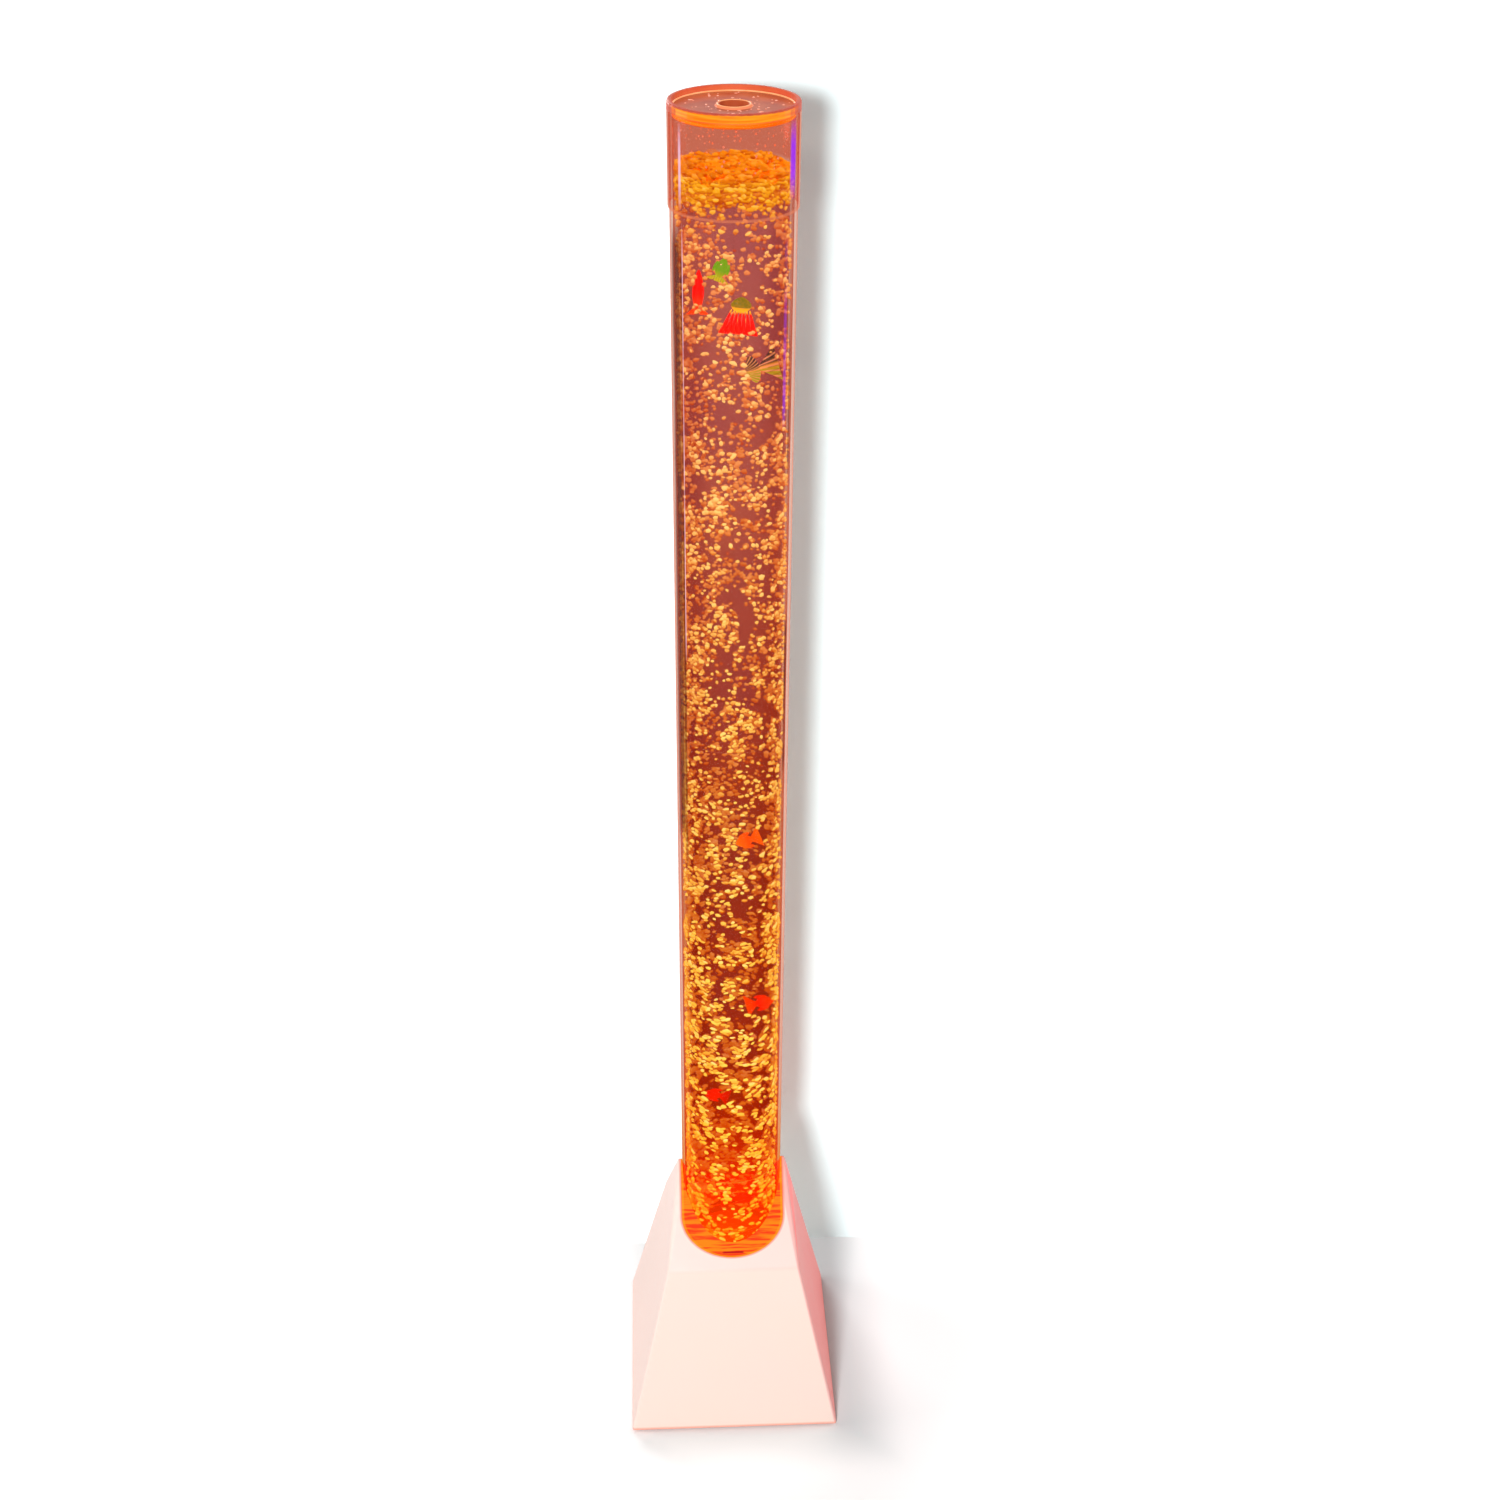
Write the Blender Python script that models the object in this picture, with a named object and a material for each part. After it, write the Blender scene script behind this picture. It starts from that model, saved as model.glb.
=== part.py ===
"""Sensory bubble tube: a clear water tube with drifting fish on a flared, lit base.

Metres, +Z up. The origin is on the floor under the tube's axis, and the front faces -Y.
"""
import math

import bmesh
import bpy
from mathutils import Matrix, Vector

MM = 0.001

# Clearances shared by every piece
GAP = 0.3 * MM
OVERRUN = 5.0 * MM

# Segment counts
ROUND_STEPS = 48
MEDIUM_STEPS = 24
SMALL_STEPS = 12

# Tube
TUBE_RADIUS = 75.0 * MM
TUBE_WALL = 4.0 * MM
TUBE_LENGTH = 1759.5 * MM

# Feet, bottom plate and its screws
FOOT_HEIGHT = 5.0 * MM
FOOT_RADIUS = 14.0 * MM
PLATE_THICK = 3.0 * MM
VENT_LENGTH = 40.0 * MM
VENT_WIDTH = 3.0 * MM
VENT_PITCH = 9.0 * MM
VENT_COUNT = 5
VENT_INSET = 40.0 * MM
SCREW_HEAD_RADIUS = 3.5 * MM
SCREW_HEAD_HEIGHT = 2.4 * MM
SCREW_SHANK_RADIUS = 1.6 * MM
SCREW_BITE = 14.0 * MM
SCREW_HEAD_ROOM = 0.8 * MM
BOSS_RADIUS = 7.0 * MM
BOSS_HEIGHT = 70.0 * MM
BOSS_WALL_GRIP = 1.6 * MM

# Base shell
SHELL_LIFT = 2.0 * MM
SHELL_WALL = 3.0 * MM
SHOULDER_RISE = 22.0 * MM
RIDGE_RISE = 138.0 * MM
BASE_FLARE = 60.0 * MM
SHOULDER_LEDGE = 11.5 * MM
OPENING_STRETCH = 11.0 * MM
RIDGE_WALL = 3.5 * MM

# Light collar between the tube and the shell's opening
COLLAR_SIDE = 2.4 * MM
COLLAR_DEPTH = 18.0 * MM
COLLAR_RECESS = 1.0 * MM

# Support under the tube
COLUMN_HEIGHT = 200.0 * MM
COLUMN_RADIUS = 8.0 * MM
SEAT_THICK = 8.0 * MM
SEAT_MARGIN = 4.0 * MM
SOCKET_WALL = 8.7 * MM
SOCKET_HEIGHT = 41.0 * MM
SOCKET_LEDGE = 10.0 * MM
SOCKET_REACH = 5.0 * MM
SEAL_THICK = 2.7 * MM
SEAL_REACH = 3.0 * MM

# Tube floor, lamp ring, air inlet and diffuser
FLOOR_THICK = 10.0 * MM
LAMP_BORE = 20.0 * MM
LAMP_MARGIN = 4.0 * MM
LAMP_THICK = 1.6 * MM
LENS_INNER = 34.0 * MM
LENS_WIDTH = 20.0 * MM
LENS_HEIGHT = 4.0 * MM
INLET_RADIUS = 6.0 * MM
INLET_BORE = 2.0 * MM
INLET_DROP = 10.0 * MM
INLET_FLANGE_RADIUS = 14.0 * MM
INLET_FLANGE_THICK = 3.5 * MM
NUT_RADIUS = 11.0 * MM
NUT_THICK = 4.5 * MM
SEAT_BORE_ROOM = 2.0 * MM
DIFFUSER_MARGIN = 12.0 * MM
DIFFUSER_THICK = 8.0 * MM
DIFFUSER_HOLE_RADIUS = 1.8 * MM
DIFFUSER_RING_COUNTS = (6, 12)
DIFFUSER_RING_SHARES = (0.40, 0.76)

# Lift-off lid
SLEEVE_WALL = 1.7 * MM
SLEEVE_LENGTH = 110.0 * MM
LID_RIM_HEIGHT = 9.7 * MM
LID_RIM_WIDTH = 5.5 * MM
LID_SHOULDER = 2.5 * MM
LID_RECESS = 7.5 * MM
LID_DISC_THICK = 9.8 * MM
LID_HOLE_RADIUS = 17.0 * MM
LID_LIP_WIDTH = 3.8 * MM
LID_LIP_HEIGHT = 2.0 * MM

# Water level below the tube's top edge
WATER_DROP = 66.0 * MM

# Air pump
PUMP_OFFSET = 96.0 * MM
PUMP_WIDTH = 46.0 * MM
PUMP_LENGTH = 92.0 * MM
PUMP_HEIGHT = 48.0 * MM
PUMP_WALL = 2.5 * MM
PUMP_LID = 3.0 * MM
MAT_THICK = 5.0 * MM
MAT_INSET = 3.0 * MM
COIL_SIZE = 28.0 * MM
COIL_DEPTH = 15.0 * MM
COIL_ROOM = 1.5 * MM
CORE_SIZE = 8.0 * MM
CORE_LENGTH = 17.0 * MM
BLOCK_DEPTH = 18.0 * MM
BLOCK_WIDTH = 20.0 * MM
BLOCK_PLACE = 8.0 * MM
NOZZLE_RADIUS = 3.0 * MM
NOZZLE_REACH = 5.0 * MM
DIAPHRAGM_RADIUS = 9.0 * MM
DIAPHRAGM_THICK = 2.0 * MM
PUSHER_RADIUS = 4.0 * MM
PUSHER_LENGTH = 3.0 * MM
PUSHER_STROKE = 1.2 * MM
ARM_THICK = 3.0 * MM
ARM_HEIGHT = 12.0 * MM
ARM_EYE_RADIUS = 4.5 * MM
PIN_RADIUS = 2.0 * MM
PIN_ROOM = 9.5 * MM
MAGNET_THICK = 4.0 * MM
MAGNET_WIDTH = 16.0 * MM

# Check valve and hoses
VALVE_HEIGHT = 84.0 * MM
VALVE_RADIUS = 7.0 * MM
VALVE_NECK = 5.0 * MM
VALVE_WEB = 1.5 * MM
VALVE_BORE = 1.5 * MM
BALL_RADIUS = 3.0 * MM
BALL_ROOM = 0.5 * MM
BALL_TRAVEL = 2.4 * MM
HOSE_RADIUS = 3.0 * MM
HOSE_LEAD = 4.0 * MM
HOSE_POINTS = 12
HOSE_PULL_OUT = 45.0 * MM
HOSE_PULL_IN = 36.0 * MM

# Control board
BOARD_OFFSET = 100.0 * MM
BOARD_WIDTH = 50.0 * MM
BOARD_LENGTH = 80.0 * MM
BOARD_THICK = 1.6 * MM
SPACER_HEIGHT = 8.0 * MM
SPACER_INSET = 5.0 * MM
CHIP_SIZE = 12.0 * MM
CHIP_THICK = 3.0 * MM

# Control panel on the back face
PANEL_HEIGHT = 70.0 * MM
PANEL_WIDTH = 84.0 * MM
PANEL_TALL = 40.0 * MM
PANEL_THICK = 2.5 * MM
PANEL_RIM = 7.0 * MM
PANEL_DEPTH = 10.0 * MM
BUTTON_RADIUS = 6.0 * MM
BUTTON_RISE = 2.2 * MM
BUTTON_LENGTH = 12.0 * MM
POWER_PLACE = -25.0 * MM
COLOUR_PLACE = -7.0 * MM
WINDOW_PLACE = 8.0 * MM
WINDOW_RADIUS = 3.0 * MM
JACK_PLACE = 24.0 * MM
JACK_RADIUS = 5.0 * MM
JACK_BORE = 2.75 * MM
JACK_PIN = 1.0 * MM
JACK_RISE = 0.5 * MM
JACK_PIN_SINK = 1.3 * MM
JACK_BACK = 2.8 * MM
WINDOW_RISE = 0.2 * MM
REAR_SINK = 0.5 * MM

# Fish: every fish swims up and down in a lane of its own, one behind the other
LANE_SHARE = 0.176
FISH_THICK = 8.0 * MM
FIN_THICK = 1.6 * MM

# Outlines of the fins, as shares of a fish's length and height
TAIL_SHARES = ((-0.16, 0.08), (-0.36, 0.30), (-0.50, 0.46), (-0.43, 0.15),
               (-0.46, 0.0), (-0.43, -0.15), (-0.50, -0.46), (-0.36, -0.30), (-0.16, -0.08))
DORSAL_SHARES = ((0.24, 0.16), (0.12, 0.44), (-0.04, 0.50), (-0.16, 0.42), (-0.10, 0.16))
BELLY_SHARES = ((0.20, -0.16), (-0.10, -0.16), (-0.16, -0.40), (-0.02, -0.50), (0.10, -0.42))
BODY_CENTRE_SHARE = 0.14
BODY_LENGTH_SHARE = 0.36
BODY_HEIGHT_SHARE = 0.34

# name, length, height, side, distance from the bore's wall on that side, lane, share of the
# water's depth, heading, colour
FISH_TABLE = (
    ("fish_green", 30.0 * MM, 21.0 * MM, -1, 55.0 * MM, -2.5, 0.9336, 70.0, (0.30, 0.62, 0.16)),
    ("fish_spindle", 54.0 * MM, 18.0 * MM, -1, 28.5 * MM, -1.5, 0.9150, 88.0, (0.82, 0.10, 0.06)),
    ("fish_rainbow", 46.0 * MM, 40.0 * MM, 1, 65.0 * MM, -3.5, 0.9031, 62.0, (0.93, 0.70, 0.10)),
    ("fish_striped", 42.0 * MM, 37.0 * MM, 1, 36.5 * MM, -0.5, 0.8577, 158.0, (0.80, 0.80, 0.12)),
    ("fish_orange", 38.0 * MM, 28.0 * MM, 1, 46.0 * MM, 3.5, 0.4324, 200.0, (0.95, 0.42, 0.06)),
    ("fish_coral", 43.0 * MM, 30.0 * MM, 1, 30.0 * MM, 0.5, 0.2777, 14.0, (0.90, 0.22, 0.08)),
    ("fish_red", 40.0 * MM, 26.0 * MM, -1, 50.5 * MM, 2.5, 0.1629, 165.0, (0.85, 0.08, 0.04)),
    ("fish_crimson", 60.0 * MM, 24.0 * MM, 1, 58.0 * MM, 1.5, 0.0446, 4.0, (0.70, 0.03, 0.03)),
)

# Heights worked out from the floor up
PLATE_LOW = FOOT_HEIGHT + GAP
PLATE_TOP = PLATE_LOW + PLATE_THICK
COLUMN_LOW = PLATE_TOP + GAP
SEAT_LOW = COLUMN_LOW + COLUMN_HEIGHT + GAP
SEAT_TOP = SEAT_LOW + SEAT_THICK
SOCKET_LOW = SEAT_TOP + GAP
SOCKET_TOP = SOCKET_LOW + SOCKET_HEIGHT
SHOULDER_HEIGHT = SOCKET_TOP + SHOULDER_RISE
RIDGE_HEIGHT = SHOULDER_HEIGHT + RIDGE_RISE
SEAL_LOW = SOCKET_LOW + SOCKET_LEDGE + GAP
TUBE_LOW = SEAL_LOW + SEAL_THICK + GAP
TUBE_TOP = TUBE_LOW + TUBE_LENGTH
FLOOR_TOP = TUBE_LOW + FLOOR_THICK
INLET_TOP = FLOOR_TOP + GAP + INLET_FLANGE_THICK
DIFFUSER_LOW = INLET_TOP + GAP
DIFFUSER_TOP = DIFFUSER_LOW + DIFFUSER_THICK
LID_LOW = TUBE_TOP + GAP
WATER_LEVEL = TUBE_TOP - WATER_DROP
WATER_DEPTH = WATER_LEVEL - FLOOR_TOP

# Widths worked out from the tube outwards
TUBE_INSIDE = TUBE_RADIUS - TUBE_WALL
OPENING_HALF_WIDTH = TUBE_RADIUS + GAP + COLLAR_SIDE + GAP
OPENING_HALF_LENGTH = OPENING_HALF_WIDTH + OPENING_STRETCH
RIDGE_HALF = OPENING_HALF_WIDTH + RIDGE_WALL
SHOULDER_HALF = OPENING_HALF_LENGTH + SHOULDER_LEDGE
BASE_HALF = SHOULDER_HALF + BASE_FLARE
SOCKET_RADIUS = TUBE_RADIUS + GAP + SOCKET_WALL
SEAT_RADIUS = SOCKET_RADIUS + SEAT_MARGIN
LEDGE_INSIDE = TUBE_INSIDE - SOCKET_REACH
SEAL_INSIDE = TUBE_INSIDE - SEAL_REACH
SLEEVE_INSIDE = TUBE_RADIUS + GAP
SLEEVE_RADIUS = SLEEVE_INSIDE + SLEEVE_WALL

# Places along the pump's case, from its inner end walls
COIL_PLACE = PUMP_LENGTH / 2.0 - PUMP_WALL - COIL_ROOM - COIL_SIZE / 2.0
PIN_PLACE = PUMP_LENGTH / 2.0 - PUMP_WALL - PIN_ROOM

WALL_RUN = BASE_FLARE / (SHOULDER_HEIGHT - SHELL_LIFT)
ROOF_SLOPE = (RIDGE_HEIGHT - SHOULDER_HEIGHT) / SHOULDER_HALF
WALL_TILT = math.atan(WALL_RUN)


def clear_scene():
    """Remove every object that the scene starts with."""
    for item in list(bpy.data.objects):
        bpy.data.objects.remove(item, do_unlink=True)


def plastic(name, colour, roughness, metallic=0.0, transmission=0.0):
    """Return a Principled material."""
    mat = bpy.data.materials.new(name)
    mat.use_nodes = True
    shader = mat.node_tree.nodes["Principled BSDF"]
    shader.inputs["Base Color"].default_value = (*colour, 1.0)
    shader.inputs["Roughness"].default_value = roughness
    shader.inputs["Metallic"].default_value = metallic
    shader.inputs["Transmission Weight"].default_value = transmission
    mat.diffuse_color = (*colour, 1.0)
    return mat


def link(name, bm, mat, place=(0.0, 0.0, 0.0), parent=None, smooth=True):
    """Turn a bmesh into a named object with its material."""
    bmesh.ops.recalc_face_normals(bm, faces=bm.faces)
    mesh = bpy.data.meshes.new(name)
    bm.to_mesh(mesh)
    bm.free()
    if smooth:
        mesh.shade_smooth()
        mesh.set_sharp_from_angle(angle=math.radians(35.0))
    obj = bpy.data.objects.new(name, mesh)
    bpy.context.scene.collection.objects.link(obj)
    obj.location = place
    if parent is not None:
        obj.parent = parent
    if mat is not None:
        mesh.materials.append(mat)
    return obj


def guide(obj):
    """Mark an object as a cutter."""
    obj.hide_render = True
    obj.display_type = "WIRE"
    return obj


def boolean(obj, other, operation):
    """Add an exact Boolean modifier."""
    mod = obj.modifiers.new(operation.lower(), "BOOLEAN")
    mod.operation = operation
    mod.solver = "EXACT"
    mod.object = other
    return mod


def lathe_mesh(profile, steps, ring):
    """Spin a profile of (radius, height) points round Z; a ring profile closes on itself."""
    bm = bmesh.new()
    verts = [bm.verts.new((radius, 0.0, height)) for radius, height in profile]
    pairs = list(zip(verts[:-1], verts[1:]))
    if ring:
        pairs.append((verts[-1], verts[0]))
    edges = [bm.edges.new(pair) for pair in pairs]
    bmesh.ops.spin(bm, geom=verts + edges, cent=(0.0, 0.0, 0.0), axis=(0.0, 0.0, 1.0),
                   dvec=(0.0, 0.0, 0.0), angle=math.tau, steps=steps,
                   use_merge=True, use_duplicate=False)
    bmesh.ops.remove_doubles(bm, verts=bm.verts, dist=GAP / ROUND_STEPS)
    return bm


def turned(name, profile, mat, steps=ROUND_STEPS, ring=False, place=(0.0, 0.0, 0.0), parent=None):
    """Make a turned piece."""
    return link(name, lathe_mesh(profile, steps, ring), mat, place, parent)


def rod(name, radius, low, high, mat, steps=SMALL_STEPS, place=(0.0, 0.0, 0.0), parent=None):
    """Make a plain cylinder between two heights."""
    profile = ((0.0, low), (radius, low), (radius, high), (0.0, high))
    return turned(name, profile, mat, steps, False, place, parent)


def band(name, inner, outer, low, high, mat, steps=ROUND_STEPS, place=(0.0, 0.0, 0.0), parent=None):
    """Make a plain ring between two heights."""
    profile = ((inner, low), (outer, low), (outer, high), (inner, high))
    return turned(name, profile, mat, steps, True, place, parent)


def box(name, low, high, mat, parent=None):
    """Make a box between two corners, with its origin in its middle."""
    low = Vector(low)
    high = Vector(high)
    bm = bmesh.new()
    bmesh.ops.create_cube(bm, size=1.0)
    bmesh.ops.scale(bm, vec=high - low, verts=bm.verts)
    return link(name, bm, mat, (low + high) / 2.0, parent, smooth=False)


def prism(name, points, low, high, mat, place=(0.0, 0.0, 0.0), parent=None):
    """Extrude an outline in the XY plane from one height to another."""
    bm = bmesh.new()
    face = bm.faces.new([bm.verts.new((x, y, low)) for x, y in points])
    grown = bmesh.ops.extrude_face_region(bm, geom=[face])
    top = [item for item in grown["geom"] if isinstance(item, bmesh.types.BMVert)]
    bmesh.ops.translate(bm, vec=(0.0, 0.0, high - low), verts=top)
    return link(name, bm, mat, place, parent, smooth=False)


def wall_half(height):
    """Return the shell's outer half width at a height below the shoulder."""
    return SHOULDER_HALF + (SHOULDER_HEIGHT - height) * WALL_RUN


def roofed_block(low, low_half, knee, knee_half, ridge, ridge_half):
    """Build a flared block whose front and back roof faces meet along an edge over X."""
    bm = bmesh.new()
    base = [bm.verts.new((x * low_half, y * low_half, low))
            for x, y in ((-1, -1), (1, -1), (1, 1), (-1, 1))]
    edge = [bm.verts.new((x * knee_half, y * knee_half, knee))
            for x, y in ((-1, -1), (1, -1), (1, 1), (-1, 1))]
    left = bm.verts.new((-ridge_half, 0.0, ridge))
    right = bm.verts.new((ridge_half, 0.0, ridge))
    bm.faces.new(base[::-1])
    for i in range(len(base)):
        j = (i + 1) % len(base)
        bm.faces.new((base[i], base[j], edge[j], edge[i]))
    bm.faces.new((edge[0], edge[1], right, left))
    bm.faces.new((edge[2], edge[3], left, right))
    bm.faces.new((edge[1], edge[2], right))
    bm.faces.new((edge[3], edge[0], left))
    return bm


def oblong(half_width, half_length):
    """Return an outline with straight sides and round ends toward -Y and +Y."""
    shift = half_length - half_width
    half_steps = MEDIUM_STEPS
    points = []
    for end in (1, -1):
        for i in range(half_steps + 1):
            angle = math.pi * i / half_steps + (0.0 if end > 0 else math.pi)
            points.append((half_width * math.cos(angle), half_width * math.sin(angle) + end * shift))
    return points


def bezier(start, pull_start, pull_end, end, count):
    """Return points along a cubic curve."""
    points = []
    for i in range(count + 1):
        t = i / count
        s = 1.0 - t
        points.append(start * s ** 3 + pull_start * (3.0 * s * s * t)
                      + pull_end * (3.0 * s * t * t) + end * t ** 3)
    return points


def hose(name, points, mat):
    """Make a round hose along points."""
    curve = bpy.data.curves.new(name, "CURVE")
    curve.dimensions = "3D"
    curve.bevel_depth = HOSE_RADIUS
    curve.bevel_resolution = 2
    curve.use_fill_caps = True
    curve.render_resolution_u = 0
    spline = curve.splines.new("POLY")
    spline.points.add(len(points) - 1)
    for slot, point in zip(spline.points, points):
        slot.co = (*point, 1.0)
    obj = bpy.data.objects.new(name, curve)
    bpy.context.scene.collection.objects.link(obj)
    curve.materials.append(mat)
    return obj


def make_base(mats):
    """Make the shell, bottom plate, feet, screws and light collar."""
    shell = link("base_shell", roofed_block(SHELL_LIFT, BASE_HALF, SHOULDER_HEIGHT, SHOULDER_HALF,
                                            RIDGE_HEIGHT, RIDGE_HALF), mats["shell"], smooth=False)
    # the roof's inner face lies one wall below the outer one, measured square to it
    roof_drop = SHELL_WALL * math.hypot(1.0, ROOF_SLOPE)
    knee_drop = (roof_drop / ROOF_SLOPE - SHELL_WALL) / (1.0 / ROOF_SLOPE - WALL_RUN)
    knee = SHOULDER_HEIGHT - knee_drop
    cavity = link("cut_cavity", roofed_block(SHELL_LIFT - OVERRUN,
                                             wall_half(SHELL_LIFT - OVERRUN) - SHELL_WALL,
                                             knee, wall_half(knee) - SHELL_WALL,
                                             RIDGE_HEIGHT - roof_drop, RIDGE_HALF - SHELL_WALL),
                  None, smooth=False)
    boolean(shell, guide(cavity), "DIFFERENCE")

    boss_low = PLATE_TOP + GAP
    boss_top = boss_low + BOSS_HEIGHT
    boss_place = wall_half(boss_top) - SHELL_WALL + BOSS_WALL_GRIP - BOSS_RADIUS
    hole_radius = SCREW_SHANK_RADIUS + GAP
    shank_top = boss_low + SCREW_BITE
    corners = (("fl", -1, -1), ("fr", 1, -1), ("bl", -1, 1), ("br", 1, 1))
    plate_half = wall_half(PLATE_TOP) - SHELL_WALL - GAP
    plate = box("bottom_plate", (-plate_half, -plate_half, PLATE_LOW),
                (plate_half, plate_half, PLATE_TOP), mats["shell"])
    for label, sx, sy in corners:
        spot = (sx * boss_place, sy * boss_place, 0.0)
        boss = rod("cut_boss_" + label, BOSS_RADIUS, boss_low, boss_top, None, SMALL_STEPS, spot)
        boolean(shell, guide(boss), "UNION")
        pilot = rod("cut_pilot_" + label, hole_radius, boss_low - OVERRUN, shank_top + GAP,
                    None, SMALL_STEPS, spot)
        boolean(shell, guide(pilot), "DIFFERENCE")
        way = rod("cut_way_" + label, hole_radius, PLATE_LOW - OVERRUN, PLATE_TOP + OVERRUN,
                  None, SMALL_STEPS, spot)
        boolean(plate, guide(way), "DIFFERENCE")
        band("foot_" + label, SCREW_HEAD_RADIUS + SCREW_HEAD_ROOM, FOOT_RADIUS, 0.0, FOOT_HEIGHT,
             mats["rubber"], MEDIUM_STEPS, spot)
        head_top = PLATE_LOW - GAP
        turned("screw_" + label, ((0.0, head_top - SCREW_HEAD_HEIGHT),
                                  (SCREW_HEAD_RADIUS, head_top - SCREW_HEAD_HEIGHT),
                                  (SCREW_HEAD_RADIUS, head_top), (SCREW_SHANK_RADIUS, head_top),
                                  (SCREW_SHANK_RADIUS, shank_top), (0.0, shank_top)),
               mats["steel"], SMALL_STEPS, False, spot)

    vent_run = VENT_PITCH * (VENT_COUNT - 1)
    for i in range(VENT_COUNT):
        x = VENT_PITCH * i - vent_run / 2.0
        y = plate_half - VENT_INSET
        vent = box("cut_vent_%d" % (i + 1),
                   (x - VENT_WIDTH / 2.0, y - VENT_LENGTH / 2.0, PLATE_LOW - OVERRUN),
                   (x + VENT_WIDTH / 2.0, y + VENT_LENGTH / 2.0, PLATE_TOP + OVERRUN), None)
        boolean(plate, guide(vent), "DIFFERENCE")

    collar_low = SHOULDER_HEIGHT - COLLAR_DEPTH
    opening = prism("cut_opening", oblong(OPENING_HALF_WIDTH, OPENING_HALF_LENGTH),
                    collar_low - OVERRUN, RIDGE_HEIGHT + OVERRUN, None)
    boolean(shell, guide(opening), "DIFFERENCE")

    collar = prism("light_collar", oblong(OPENING_HALF_WIDTH - GAP, OPENING_HALF_LENGTH - GAP),
                   collar_low, RIDGE_HEIGHT, mats["collar"])
    bore = rod("cut_collar_bore", TUBE_RADIUS + GAP, collar_low - OVERRUN, RIDGE_HEIGHT + OVERRUN,
               None, ROUND_STEPS)
    boolean(collar, guide(bore), "DIFFERENCE")
    roof = link("cut_collar_roof", roofed_block(SHELL_LIFT, BASE_HALF,
                                                SHOULDER_HEIGHT - COLLAR_RECESS, SHOULDER_HALF,
                                                RIDGE_HEIGHT - COLLAR_RECESS, RIDGE_HALF),
                None, smooth=False)
    boolean(collar, guide(roof), "INTERSECT")
    return shell


def make_support(mats):
    """Make what carries the tube: columns, seat plate, socket and seal."""
    spread = (SEAT_RADIUS - COLUMN_RADIUS) / math.sqrt(2.0)
    for label, sx, sy in (("fl", -1, -1), ("fr", 1, -1), ("bl", -1, 1), ("br", 1, 1)):
        rod("column_" + label, COLUMN_RADIUS, COLUMN_LOW, COLUMN_LOW + COLUMN_HEIGHT,
            mats["aluminium"], MEDIUM_STEPS, (sx * spread, sy * spread, 0.0))
    band("seat_plate", INLET_RADIUS + SEAT_BORE_ROOM, SEAT_RADIUS, SEAT_LOW, SEAT_TOP, mats["aluminium"])
    turned("tube_socket", ((LEDGE_INSIDE, SOCKET_LOW), (SOCKET_RADIUS, SOCKET_LOW),
                           (SOCKET_RADIUS, SOCKET_TOP),
                           (TUBE_RADIUS + GAP, SOCKET_TOP),
                           (TUBE_RADIUS + GAP, SOCKET_LOW + SOCKET_LEDGE),
                           (LEDGE_INSIDE, SOCKET_LOW + SOCKET_LEDGE)), mats["dark"], ring=True)
    band("seal_ring", SEAL_INSIDE, TUBE_RADIUS, SEAL_LOW, SEAL_LOW + SEAL_THICK, mats["rubber"])


def make_tube(mats):
    """Make the tube, its floor, the lamp ring below it and the air inlet and diffuser."""
    band("tube", TUBE_INSIDE, TUBE_RADIUS, TUBE_LOW, TUBE_TOP, mats["clear"])
    band("tube_floor", INLET_RADIUS + GAP, TUBE_INSIDE - GAP, TUBE_LOW, FLOOR_TOP, mats["clear"])
    lamp_low = SEAT_TOP + GAP
    lamp_top = lamp_low + LAMP_THICK
    band("lamp_board", LAMP_BORE, LEDGE_INSIDE - LAMP_MARGIN, lamp_low, lamp_top, mats["board"])
    band("lamp_lens", LENS_INNER, LENS_INNER + LENS_WIDTH, lamp_top + GAP,
         lamp_top + GAP + LENS_HEIGHT, mats["glow"])
    turned("air_inlet", ((INLET_BORE, SEAT_LOW - INLET_DROP), (INLET_RADIUS, SEAT_LOW - INLET_DROP),
                         (INLET_RADIUS, FLOOR_TOP + GAP), (INLET_FLANGE_RADIUS, FLOOR_TOP + GAP),
                         (INLET_FLANGE_RADIUS, INLET_TOP), (INLET_BORE, INLET_TOP)),
           mats["dark"], MEDIUM_STEPS, True)
    band("inlet_nut", INLET_RADIUS + GAP, NUT_RADIUS, TUBE_LOW - GAP - NUT_THICK, TUBE_LOW - GAP,
         mats["dark"], MEDIUM_STEPS)
    radius = TUBE_INSIDE - DIFFUSER_MARGIN
    diffuser = rod("air_diffuser", radius, DIFFUSER_LOW, DIFFUSER_TOP, mats["clear"], ROUND_STEPS)
    holes = bmesh.new()
    for count, share in zip(DIFFUSER_RING_COUNTS, DIFFUSER_RING_SHARES):
        for i in range(count):
            angle = math.tau * i / count
            spot = Vector((math.cos(angle), math.sin(angle), 0.0)) * (radius * share)
            spot.z = (DIFFUSER_LOW + DIFFUSER_TOP) / 2.0
            bmesh.ops.create_cone(holes, cap_ends=True, segments=SMALL_STEPS // 2 + 2,
                                  radius1=DIFFUSER_HOLE_RADIUS, radius2=DIFFUSER_HOLE_RADIUS,
                                  depth=DIFFUSER_THICK + 2.0 * OVERRUN,
                                  matrix=Matrix.Translation(spot))
    boolean(diffuser, guide(link("cut_diffuser_holes", holes, None)), "DIFFERENCE")


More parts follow.
